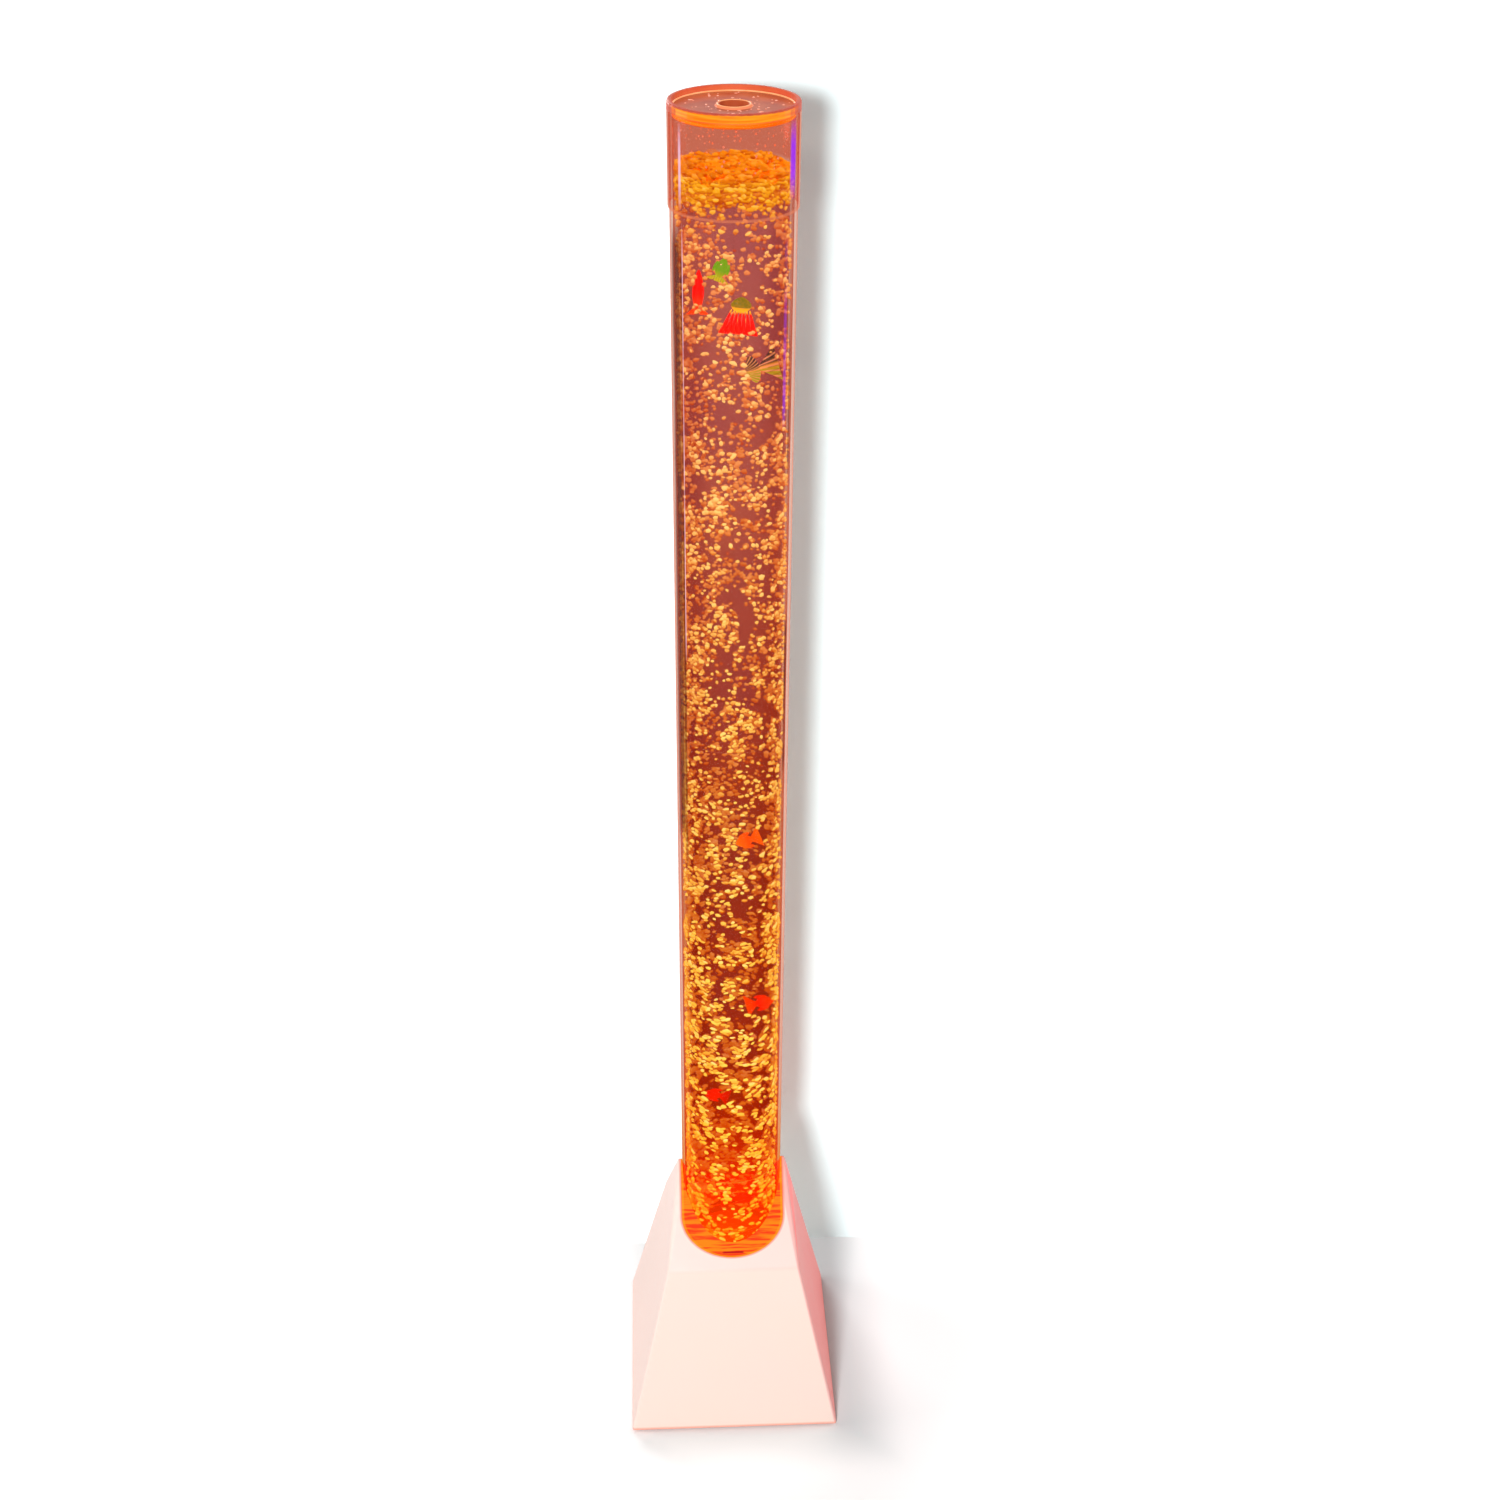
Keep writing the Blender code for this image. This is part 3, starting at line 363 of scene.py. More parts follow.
@dataclass(frozen=True)
class Finish:
    """A finish, by its name."""

    name: str

    def surface(self, bench: Bench) -> Wire:
        """Mixes the finish's surface.

        Args:
            bench: The bench of the material in the making.

        Returns:
            The surface's shader.
        """
        raise NotImplementedError

    def material(self) -> Material:
        """Builds the material, whose glow isn't sampled as a lamp.

        Returns:
            The material.
        """
        made = bpy.data.materials.new(self.name)
        bench = Bench(made)
        bench.done(self.surface(bench))
        made.cycles.emission_sampling = "NONE"
        return made


@dataclass(frozen=True)
class Moulded(Finish):
    """A moulded plastic or rubber: two close tones, fine grain, gloss and a little wear."""

    colour: Colour
    second: Colour
    rough: float = 0.4
    grain: float = 900.0
    depth: float = 0.00006
    shine: float = 0.5

    def surface(self, bench: Bench) -> Wire:
        """Mixes the surface.

        Args:
            bench: The bench of the material in the making.

        Returns:
            The surface's shader.
        """
        tone = bench.noise(22.0, 4.0).rise(0.35, 0.65).mix(self.colour, self.second)
        rough = bench.noise(160.0, 3.0, shift=(7.0, 0.0, 0.0)).span(0.3, 0.7, self.rough - 0.07, self.rough + 0.09)
        grain = bench.noise(self.grain, shift=(3.0, 1.0, 2.0)).bump(0.4, self.depth)
        return bench.solid(Base_Color=tone, Roughness=rough, Specular_IOR_Level=self.shine, Normal=grain)


@dataclass(frozen=True)
class Metal(Finish):
    """A bare metal with fine turning or brushing lines."""

    colour: Colour
    rough: float = 0.3
    lines: Point = (1.0, 1.0, 26.0)

    def surface(self, bench: Bench) -> Wire:
        """Mixes the surface.

        Args:
            bench: The bench of the material in the making.

        Returns:
            The surface's shader.
        """
        lines = bench.noise(320.0, 3.0, stretch=self.lines)
        tone = bench.noise(60.0, 3.0).rise(0.3, 0.7).mix(scaled(self.colour, 0.72), self.colour)
        rough = lines.span(0.3, 0.7, self.rough - 0.08, self.rough + 0.12)
        return bench.solid(Base_Color=tone, Metallic=1.0, Roughness=rough, Normal=lines.bump(0.3, 0.00004))


@dataclass(frozen=True)
class Winding(Finish):
    """Enamelled copper wire laid in close turns along one axis."""

    turns: float = 900.0

    def surface(self, bench: Bench) -> Wire:
        """Mixes the surface.

        Args:
            bench: The bench of the material in the making.

        Returns:
            The surface's shader.
        """
        wave = bench.make("TexWave", {"Vector": bench.place, "Scale": self.turns, "Distortion": 0.6}, "Fac",
                          bands_direction="Y")
        tone = wave.ramp((0.0, (0.16, 0.04, 0.012)), (0.6, (0.6, 0.22, 0.07)), (1.0, (0.85, 0.4, 0.17)))
        return bench.solid(Base_Color=tone, Metallic=0.8, Roughness=0.28, Coat_Weight=0.5,
                           Normal=wave.bump(0.6, 0.0002))


@dataclass(frozen=True)
class Board(Finish):
    """A circuit board: green lacquer over copper tracks, with tinned pads."""

    lacquer: Colour = (0.012, 0.13, 0.045)

    def surface(self, bench: Bench) -> Wire:
        """Mixes the surface.

        Args:
            bench: The bench of the material in the making.

        Returns:
            The surface's shader.
        """
        looks = {"Vector": bench.place, "Scale": 150.0, "Mortar Size": 0.035, "Color1": self.lacquer,
                 "Color2": scaled(self.lacquer, 1.25), "Mortar": (0.05, 0.3, 0.1)}
        track = bench.make("TexBrick", looks, offset=0.37, squash=1.4)
        pads = bench.cells(210.0).fall(0.10, 0.13)
        return bench.solid(Base_Color=pads.mix(track, (0.7, 0.68, 0.6)), Metallic=pads * 0.8, Roughness=0.32,
                           Coat_Weight=0.3, Normal=track.beside("Fac").bump(0.3, 0.00008))


@dataclass(frozen=True)
class ShellSkin(Finish):
    """The base's pale satin plastic, with painted light: pinker on its roof and side faces, red on its right side
    faces, a warm glow along its edges and its U, and a red sheen where it turns away.
    """

    # painted light: upper is the roof faces' pinker tone and side the left faces' pinker tone; the right faces' red
    # tone is the tube's painted glow on them
    front: Colour = (0.93, 0.735, 0.64)
    upper: Colour = (0.90, 0.69, 0.63)
    side: Colour = (0.96, 0.74, 0.66)
    painted_glow_side: Colour = (0.95, 0.42, 0.39)

    def surface(self, bench: Bench) -> Wire:
        """Mixes the surface.

        Args:
            bench: The bench of the material in the making.

        Returns:
            The surface's shader.
        """
        # painted light: the roof faces above the shoulder and the side faces get pinker copies of the front's tone, and
        # the right side faces a red painted glow
        lower = bench.z.fall(SHOULDER - 0.004, SHOULDER + 0.003)
        inset = FOOT_HALF - bench.z * WALL_RUN - abs(bench.x)
        face = lower.mix(self.upper, self.front)
        face = inset.fall(0.0015, 0.0035).mix(face, bench.x.rise(-0.01, 0.01).mix(self.side, self.painted_glow_side))
        face = bench.noise(9.0, 3.0).rise(0.35, 0.7, 0.35).mix(face, (0.96, 0.73, 0.66))
        # painted glow: a salmon line along the foot of the shell
        face = bench.z.fall(0.0040, 0.0085, 0.9).mix(face, (0.93, 0.30, 0.19))
        # painted glow: a red line round the edge of the U opening, above the shoulder
        line = (bench.arch(OPENING_HALF, ARCH_SPRING) - OPENING_HALF).fall(0.0012, 0.0030, 0.8)
        face = (line * bench.z.rise(0.283, 0.286)).mix(face, (0.90, 0.26, 0.18))
        rough = bench.noise(120.0, 3.0).span(0.3, 0.7, 0.34, 0.46)
        # painted sheen: where the faces turn away from view, a red satin with its own glow takes over, sooner on the
        # right side faces
        rim = bench.facing().span(bench.x.span(-0.01, 0.01, 0.915, 0.875), 0.96, 0.0, 0.9)
        # the whole shell glows faintly: painted light
        body = bench.solid(Base_Color=face, Roughness=rough, Specular_IOR_Level=0.35, Emission_Color=(0.96, 0.66, 0.56),
                           Emission_Strength=0.05, Normal=bench.noise(1400.0).bump(0.25, 0.00003))
        satin = bench.solid(Base_Color=(0.60, 0.09, 0.08), Roughness=0.5, Emission_Color=(1.0, 0.15, 0.14),
                            Emission_Strength=0.6)
        return rim.blend(body, satin)


@dataclass(frozen=True)
class Streak:
    """An upright painted reflection in a clear wall, a dark streak or a bright gleam, by its turn round the axis and
    its heights.
    """

    turn: float
    width: float
    low: float
    high: float
    depth: float
    gaps: float = 0.30


@dataclass(frozen=True)
class ClearWall(Finish):
    """Clear acrylic that carries the lamp's colour: salmon high up, orange low down, brighter at its cut ends and along
    its outline with a painted glow, and with painted reflections and highlights as upright streaks.
    """

    outer: Colour = (0.985, 0.93, 0.90)
    inner: Colour = (0.985, 0.95, 0.93)
    bore: float = 0.0730
    ends: Tuple[float, ...] = (1.9900,)
    dry: Colour = (0.95, 0.70, 0.62)
    streaks: Tuple[Streak, ...] = ()
    gleams: Tuple[Streak, ...] = ()
    gloss: float = 0.07
    skin: float = 0.0004
    fade: float = 0.03

    def stripe(self, bench: Bench, streak: Streak) -> Wire:
        """Gives how strongly an upright streak shows at each point.

        Args:
            bench: The bench of the material in the making.
            streak: The streak.

        Returns:
            The streak's share.
        """
        away = abs(bench.sum("ARCTAN2", bench.y, bench.x) - streak.turn)
        band = away.fall(streak.width * 0.45, streak.width, soft=True)
        tall = bench.z.rise(streak.low, streak.low + self.fade) * bench.z.fall(streak.high - self.fade, streak.high)
        patch = bench.noise(3.4, 3.0, stretch=(1.0, 1.0, 1.8)).rise(streak.gaps - 0.06, streak.gaps + 0.06)
        outside = bench.radius().rise(self.bore - self.skin, self.bore + self.skin)
        return band * tall * (patch * streak.depth) * outside

    def surface(self, bench: Bench) -> Wire:
        """Mixes the surface.

        Args:
            bench: The bench of the material in the making.

        Returns:
            The surface's shader.
        """
        inside = bench.radius().fall(self.bore - self.skin, self.bore + self.skin)
        low = bench.z.fall(0.30, 0.62, soft=True)
        tint = low.mix(inside.mix(self.outer, self.inner), (1.0, 0.80, 0.50))
        tint = bench.z.rise(1.922, 1.926).mix(tint, self.dry)
        # painted reflections: dark upright streaks where the room would be mirrored in the wall
        for streak in self.streaks:
            tint = self.stripe(bench, streak).mix(tint, (0.16, 0.025, 0.03))
        facing = bench.facing()
        tint = facing.rise(0.62, 0.86).mix(tint, low.mix((0.93, 0.60, 0.50), (1.0, 0.50, 0.08)))
        cut = bench.most(0.0, 0.0)
        for level in self.ends:
            cut = bench.most(cut, abs(bench.z - level).fall(0.0008, 0.0022))
        # painted glow: a glowing line along the wall's outline, where it turns away, and at its cut ends
        share = bench.most(facing.rise(0.88, 1.0, 0.5), cut * 0.28)
        line = bench.glow(low.mix((0.95, 0.27, 0.13), (1.0, 0.30, 0.01)), 0.95)
        gloss = bench.make("BsdfGlossy", {"Color": (1.0, 0.93, 0.9), "Roughness": 0.06})
        mirror = bench.make("Fresnel", {"IOR": 1.3}) * ((1.0 - inside) * self.gloss)
        shine = mirror.blend(share.blend(bench.clear(tint), line), gloss)
        # painted highlights: a violet and a pale upright gleam glow on the wall, seen where it turns away
        slant = facing.rise(0.12, 0.30)
        for gleam, colour in zip(self.gleams, ((0.34, 0.03, 1.0), (0.95, 0.55, 0.72))):
            shine = (self.stripe(bench, gleam) * slant).blend(shine, bench.glow(colour))
        return bench.shaded(shine, (0.72, 0.70, 0.69))


@dataclass(frozen=True)
class WaterTint(Finish):
    """A skin of lit water: it tints what lies behind and adds a glow that changes with height."""

    tints: Stops
    glows: Stops
    patch: float
    depths: Stops = ()
    fade: bool = False

    def surface(self, bench: Bench) -> Wire:
        """Mixes the surface.

        Args:
            bench: The bench of the material in the making.

        Returns:
            The surface's shader.
        """
        height = bench.water_height()
        tint = height.ramp(*self.tints)
        if self.depths:
            past = bench.sum("MULTIPLY", bench.facing() - height.span(0.0, 1.0, 0.22, 0.08), 4.2, True)
            tint = (past * abs(bench.upright()).fall(0.4, 0.7)).mix(tint, height.ramp(*self.depths))
        if self.fade:
            tint = bench.facing().rise(0.62, 0.94).mix(tint, (1.0, 0.85, 0.75))
        cloud = bench.noise(9.0, 4.0, stretch=(1.0, 1.0, 0.55)).rise(0.35, 0.68)
        cool = cloud.mix(tint, bench.mix(self.patch, tint, (0.62, 0.30, 0.45)))
        lit = bench.glow(height.ramp(*self.glows), cloud.span(0.0, 1.0, 1.15, 0.7))
        return bench.shaded(bench.both(bench.clear(cool), lit), (0.66, 0.64, 0.63))


@dataclass(frozen=True)
class BubbleSkin(Finish):
    """An air bubble lit from below, with painted light: it glows, with a painted highlight on its cap, painted shade on
    its belly, and a tone of its own.
    """

    def surface(self, bench: Bench) -> Wire:
        """Mixes the surface.

        Args:
            bench: The bench of the material in the making.

        Returns:
            The surface's shader.
        """
        tone, height, up = bench.mark("tone"), bench.water_height(), bench.upright()
        # painted light: the bubbles glow brighter and yellower low in the water
        bright = height.ramp((0.0, (1.0, 0.74, 0.10)), (0.12, (1.0, 0.92, 0.15)), (0.35, (1.0, 0.85, 0.14)),
                             (0.60, (1.0, 0.74, 0.17)), (0.85, (1.0, 0.64, 0.22)), (0.95, (1.0, 0.62, 0.20)),
                             (0.98, (1.0, 0.56, 0.02)))
        deep = height.ramp((0.0, (0.95, 0.24, 0.0)), (0.2, (0.70, 0.18, 0.0)), (0.6, (0.62, 0.16, 0.01)),
                           (0.95, (0.66, 0.16, 0.03)), (0.98, (0.55, 0.11, 0.0)))
        # painted light and shade: the cap, facing up, is brighter and the belly darker
        share = bench.sum("ADD", up.rise(-0.75, 0.55) * 0.75, (tone - 0.40) * 0.80, True)
        # painted highlight: near-white on the tops of bright bubbles, more so low down
        white = tone.rise(0.68, 0.88) * up.rise(0.1, 0.6) * bench.z.span(0.5, 1.3, 0.80, 0.2)
        colour = white.mix(share.mix(deep, bright), (1.0, 0.93, 0.45))
        return bench.shaded(bench.glow(colour, 1.32), (0.85, 0.82, 0.8))


@dataclass(frozen=True)
class LampGlow(Finish):
    """A part that carries the lamp's light: two glowing tones broken into level streaks."""

    bright: Colour
    deep: Colour
    strength: float = 1.0
    streak: Point = (10.0, 14.0, 160.0)
    share: float = 1.0

    def surface(self, bench: Bench) -> Wire:
        """Mixes the surface.

        Args:
            bench: The bench of the material in the making.

        Returns:
            The surface's shader.
        """
        colour = bench.noise(6.0, 3.0, stretch=self.streak).rise(0.38, 0.62).mix(self.deep, self.bright)
        body = bench.solid(Base_Color=bench.mix(0.75, colour, (0.02, 0.002, 0.0)), Roughness=0.35,
                           Emission_Color=colour, Emission_Strength=self.strength)
        if self.share >= 1.0:
            return body
        return bench.blend(self.share, bench.clear((1.0, 0.72, 0.5)), body)


@dataclass(frozen=True)
class LidGlass(Finish):
    """The lid's clear disc, glowing with painted light: salmon-brown across its face, glowing orange at its edge, peach
    along its corners.
    """

    disc: float = 0.0707
    hole: float = 0.0208
    wall: float = 0.0762

    def surface(self, bench: Bench) -> Wire:
        """Mixes the surface.

        Args:
            bench: The bench of the material in the making.

        Returns:
            The surface's shader.
        """
        reach = bench.radius()
        near, far = self.disc - 0.0006, self.disc - 0.0002
        on_disc = reach.fall(near, far)
        side = reach.rise(near, far) * bench.z.fall(1.9899, 1.9901)
        cloud = bench.noise(38.0, 4.0).rise(0.35, 0.65)
        face = cloud.mix((0.36, 0.055, 0.02), (0.48, 0.10, 0.035))
        tone = on_disc.mix(cloud.mix((0.50, 0.09, 0.055), (0.64, 0.14, 0.09)), face)
        tone = abs(reach - self.hole).fall(0.0008, 0.002, 0.8).mix(tone, (1.0, 0.33, 0.16))
        bands = bench.noise(30.0, stretch=(0.6, 0.6, 14.0)).rise(0.4, 0.6)
        tone = side.mix(tone, bands.mix((1.0, 0.20, 0.0), (1.0, 0.38, 0.02)))
        wall = reach.rise(self.wall, self.wall + 0.0005) * bench.facing().fall(0.45, 0.70)
        tone = wall.mix(tone, bands.mix((1.0, 0.18, 0.0), (1.0, 0.34, 0.01)))
        share = bench.most(bench.most(on_disc.mix((0.55,) * 3, (0.93,) * 3), side), wall * 0.93)
        # painted light: the disc glows all over, more on its side
        body = bench.solid(Base_Color=bench.mix(0.35, (0, 0, 0), tone), Roughness=0.3, Specular_IOR_Level=0.12,
                           Emission_Color=tone, Emission_Strength=side * 0.6 + 0.8)
        glass = bench.clear(on_disc.mix((0.90, 0.45, 0.34), (0.95, 0.45, 0.33)))
        return bench.shaded(share.blend(glass, body), (0.6, 0.6, 0.6))


@dataclass(frozen=True)
class CollarGlow(Finish):
    """The frosted collar: a bright orange rim along its outer edge, and streaked red-orange inside it."""

    half: float = COLLAR_HALF
    spring: float = 0.3470

    def surface(self, bench: Bench) -> Wire:
        """Mixes the surface.

        Args:
            bench: The bench of the material in the making.

        Returns:
            The surface's shader.
        """
        inset = self.half - bench.arch(self.half, self.spring)
        streaks = bench.noise(5.0, 3.0, stretch=(4.0, 12.0, 60.0)).rise(0.42, 0.58)
        bar = abs(bench.x).fall(0.014, 0.018) * (bench.z.rise(0.3003, 0.3008) * bench.z.fall(0.3028, 0.3033))
        inner = bar.mix(streaks.mix((1.0, 0.04, 0.0), (1.0, 0.24, 0.0)), (0.55, 0.0, 0.0))
        tone = inset.fall(0.0034, 0.0046).mix(inner, streaks.mix((1.0, 0.22, 0.0), (1.0, 0.32, 0.01)))
        tone = inset.fall(0.0004, 0.0012).mix(tone, (0.95, 0.20, 0.10))
        return bench.solid(Base_Color=bench.mix(0.92, tone, (0.01, 0.001, 0.0)), Roughness=0.6, Specular_IOR_Level=0.1,
                           Emission_Color=tone, Emission_Strength=0.95)


class Stripes(Enum):
    """How a fish is painted along its body."""

    PLAIN = 0
    CAPPED = 1
    TIGER = 2


@dataclass(frozen=True)
class FishSkin(Finish):
    """Painted rubber skin: tones from nose to tail, with stripes, scales and a wet gloss, and a painted glow that
    stands in for the light reaching it through the water.
    """

    nose: Colour
    middle: Colour
    tail: Colour
    stripes: Stripes = Stripes.PLAIN
    light: float = 1.35

    def surface(self, bench: Bench) -> Wire:
        """Mixes the surface.

        Args:
            bench: The bench of the material in the making.

        Returns:
            The surface's shader.
        """
        along, up = bench.mark("along"), bench.mark("up")
        if self.stripes is Stripes.CAPPED:
            tone = along.ramp((0.0, self.tail), (0.55, self.tail), (0.60, self.middle), (0.70, self.middle),
                              (0.75, self.nose), (1.0, self.nose))
        elif self.stripes is Stripes.TIGER:
            fan = bench.sum("ARCTAN2", up - 0.5, 1.12 - along)
            tone = fan.rise(-0.6, 0.6).ramp(
                (0.0, (0.02, 0.03, 0.045)), (0.42, (0.05, 0.07, 0.05)), (0.5, (0.75, 0.62, 0.10)),
                (0.62, (0.42, 0.62, 0.03)), (1.0, (0.30, 0.62, 0.02)))
            line = bench.sum("SINE", fan * 34.0).rise(0.35, 0.75)
            tone = (line * 0.85).mix(tone, (0.80, 0.62, 0.30))
        else:
            tone = along.ramp((0.0, self.tail), (0.5, self.middle), (1.0, self.nose))
        vein = bench.sum("SINE", up * 46.0).rise(0.3, 0.9, 0.45)
        tone = (along.rise(0.42, 0.30) * vein).mix(tone, scaled(self.tail, 0.25))
        scales = bench.cells(420.0)
        tone = (scales.rise(0.2, 0.7, 0.3) * along.rise(0.6, 0.72)).mix(tone, scaled(self.middle, 0.6))
        # the skin glows with its own tones: painted light
        return bench.solid(Base_Color=tone, Roughness=0.3, Coat_Weight=0.4, Emission_Color=tone,
                           Emission_Strength=self.light, Normal=scales.bump(0.3, 0.0003))


@dataclass(frozen=True)
class WetDrop(Finish):
    """Pale drops of water, lit through."""

    def surface(self, bench: Bench) -> Wire:
        """Mixes the surface.

        Args:
            bench: The bench of the material in the making.

        Returns:
            The surface's shader.
        """
        tone = bench.noise(300.0).rise(0.3, 0.7).mix((0.95, 0.36, 0.22), (1.0, 0.62, 0.48))
        body = bench.solid(Base_Color=tone, Roughness=0.08, Emission_Color=tone, Emission_Strength=0.45)
        return bench.blend(0.62, bench.clear((1.0, 0.8, 0.7)), body)


# ---- the water column

LIT_WATER = WaterTint(
    "lit_water",
    ((0.0, (1.0, 0.80, 0.50)), (0.10, (0.98, 0.86, 0.65)), (0.3, (0.96, 0.86, 0.72)), (1.0, (0.95, 0.86, 0.81))),
    ((0.0, (0.20, 0.03, 0.0)), (0.10, (0.06, 0.006, 0.0)), (0.4, (0.015, 0.002, 0.0)), (1.0, (0.01, 0.002, 0.001))),
    0.12,
    ((0.0, (0.98, 0.60, 0.20)), (0.10, (0.96, 0.62, 0.25)), (0.3, (0.90, 0.66, 0.42)), (0.6, (0.88, 0.68, 0.58)),
     (1.0, (0.88, 0.70, 0.64))))
DEEP_WATER = WaterTint(
    "deep_water",
    ((0.0, (0.95, 0.42, 0.10)), (0.08, (0.74, 0.22, 0.05)), (0.16, (0.52, 0.15, 0.06)), (0.3, (0.56, 0.19, 0.08)),
     (0.5, (0.64, 0.27, 0.16)), (0.75, (0.74, 0.42, 0.37)), (1.0, (0.80, 0.50, 0.48))),
    ((0.0, (0.50, 0.08, 0.0)), (0.07, (0.30, 0.035, 0.0)), (0.13, (0.08, 0.004, 0.0)), (0.5, (0.05, 0.005, 0.001)),
     (1.0, (0.03, 0.006, 0.006))), 0.45, fade=True)
DOME_FILM = WaterTint(
    "dome_film",
    ((0.0, (1.0, 0.92, 0.7)), (1.0, (1.0, 0.92, 0.75))),
    ((0.0, (0.10, 0.04, 0.0)), (1.0, (0.08, 0.03, 0.0))), 0.0,
    ((0.0, (1.0, 0.7, 0.3)), (1.0, (1.0, 0.66, 0.25))))


@dataclass(frozen=True)
class Bubble:
    """One bubble: its middle, its radius, its squash along each axis, its turn, and its tone from 0 to 1."""

    place: Vector
    size: float
    squash: Tuple[float, ...]
    turn: Tuple[float, ...]
    tone: float


@dataclass
class WaterColumn:
    """The water in the tube: its tinted skin, a deeper core, the foam, and thousands of bubbles."""

    fish_lanes: Sequence[Tuple[float, float, float, float]]
    fish_seen: Sequence[Tuple[Vector, float]]
    eye: Vector
    radius: float = 0.0707
    floor: float = 0.2406
    level: float = 1.9240
    core: float = 0.0655
    core_floor: float = 0.014
    wave: float = 0.0045
    swells: float = 34.0
    ripples: float = 80.0
    film: float = 0.0006
    bubbles: int = 8800
    bubble_sizes: Pair = (0.0021, 0.0041)
    clump_reach: Pair = (0.063, 0.0700)
    clump_spread: float = 0.0066
    sparse_below: float = 0.36
    sparse_within: float = 0.0642
    foam: int = 1700
    foam_sizes: Pair = (0.0026, 0.0052)
    foam_depth: float = 0.034
    crowns: int = 46
    crown_sizes: Pair = (0.0055, 0.0105)
    batch: int = 80
    seed: int = 11

    def surface(self, x: float, y: float) -> float:
        """Gives the height of the wavy water surface at a place.

        Args:
            x: The place from left to right.
            y: The place from front to back.

        Returns:
            The height.
        """
        swell = noise.noise(Vector((x * self.swells, y * self.swells, 1.3)))
        ripple = noise.noise(Vector((x * self.ripples, y * self.ripples, 4.0)))
        return self.level + self.wave * (swell + 0.5 * ripple)

    def body(self) -> Piece:
        """Builds the water's outer skin, closed at its floor and its wavy top.

        Returns:
            The skin.
        """
        rings = [(NEAR_AXIS, self.floor), (self.radius - 0.001, self.floor), (self.radius, self.floor + 0.001)]
        rings += [(self.radius, self.floor + (self.level - self.floor) * i / 24) for i in range(1, 25)]
        rings += [(self.radius * (1 - i / 14), self.level) for i in range(1, 14)] + [(NEAR_AXIS, self.level)]
        bm = lathe(rings, 72)
        for vert in bm.verts:
            if vert.co.z > self.level - 0.001:
                vert.co.z = self.surface(vert.co.x, vert.co.y)
        return to_object(bm, "lit_water", LIT_WATER.material())

    def deep(self) -> Piece:
        """Builds the darker core of the water, seen through the outer water.

        Returns:
            The core.
        """
        low, top = self.floor + self.core_floor, self.level - 0.016
        heights = [low + (top - self.floor - self.core_floor) * i / 20 for i in range(1, 21)]
        rings = [(NEAR_AXIS, low), (self.core, low), *((self.core, height) for height in heights), (NEAR_AXIS, top)]
        return to_object(lathe(rings, 72), "deep_water", DEEP_WATER.material())

    def free(self, place: Vector, size: float) -> bool:
        """Tells whether a bubble keeps clear of the fish, their lanes and the view of each fish.

        Args:
            place: The bubble's middle.
            size: Its radius.

        Returns:
            Whether it may stay there.
        """
        for x, half, y, thick in self.fish_lanes:
            if abs(place.x - x) < half + size and abs(place.y - y) < thick + size:
                return False
        for middle, reach in self.fish_seen:
            sight = (self.eye - middle).normalized()
            gap = place - middle
            ahead = gap.dot(sight)
            if ahead > 0 and (gap - sight * ahead).length < reach + size * 0.2:
                return False
        return True

    def scatter(self) -> list:
        """Chooses the water's bubbles, in clumps along the wall.

        Returns:
            The bubbles, from the floor up.
        """
        dice = random.Random(self.seed)
        low, tall = self.floor + self.core_floor, self.level - self.floor - 0.02
        clumps = [(*draw(dice, (0, math.tau), self.clump_reach), low + tall * dice.random() ** 1.10)
                  for _ in range(self.bubbles // 5)]
        found = []
        while len(found) < self.bubbles:
            turn, reach, height = clumps[dice.randrange(len(clumps))]
            x = reach * math.cos(turn) + dice.gauss(0, self.clump_spread)
            y = reach * math.sin(turn) + dice.gauss(0, self.clump_spread)
            place = Vector((x, y, height + dice.gauss(0, self.clump_spread * 1.3)))
            size = dice.uniform(*self.bubble_sizes) * (1.0 if dice.random() < 0.93 else 1.3)
            size *= 1.1 if place.z < 1.0 else 1.0
            reach = math.hypot(place.x, place.y)
            if reach > self.radius - size - self.film or not low < place.z < self.level - 0.004:
                continue
            if place.z < self.sparse_below and dice.random() < 0.30:
                continue
            if reach < self.sparse_within and dice.random() < 0.86:
                continue
            if not self.free(place, size):
                continue
            flat = 1.0 + 0.38 * min(1.0, max(0.0, (1.25 - place.z) / 0.5))
            wide, deep, tall_share = draw(dice, (0.8, 1.25), (0.75, 1.1), (0.6, 1.0))
            lean = draw(dice, (-0.4, 0.4), (-0.5, 0.5))
            found.append(Bubble(place, size, (wide * flat, deep, tall_share / flat ** 0.5), (*lean, turn + math.pi / 2),
                                dice.random()))
        return sorted(found, key=lambda bubble: bubble.place.z)

    def froth(self) -> list:
        """Chooses the foam's bubbles.

        Returns:
            The bubbles, in a thick crowded band under the surface.
        """
        dice = random.Random(self.seed + 5)
        found = []
        while len(found) < self.foam:
            turn, reach = dice.uniform(0, math.tau), self.radius * math.sqrt(dice.random())
            size = dice.uniform(*self.foam_sizes)
            reach = min(reach, self.radius - size - self.film)
            x, y = reach * math.cos(turn), reach * math.sin(turn)
            drop = self.foam_depth * dice.random() ** 1.5
            place = Vector((x, y, self.surface(x, y) - drop + 0.001))
            found.append(Bubble(place, size, draw(dice, (0.8, 1.3), (0.8, 1.3), (0.5, 0.85)),
                                draw(dice, (-0.4, 0.4), (-0.4, 0.4), (0, math.tau)), dice.random() ** 1.4))
        return found

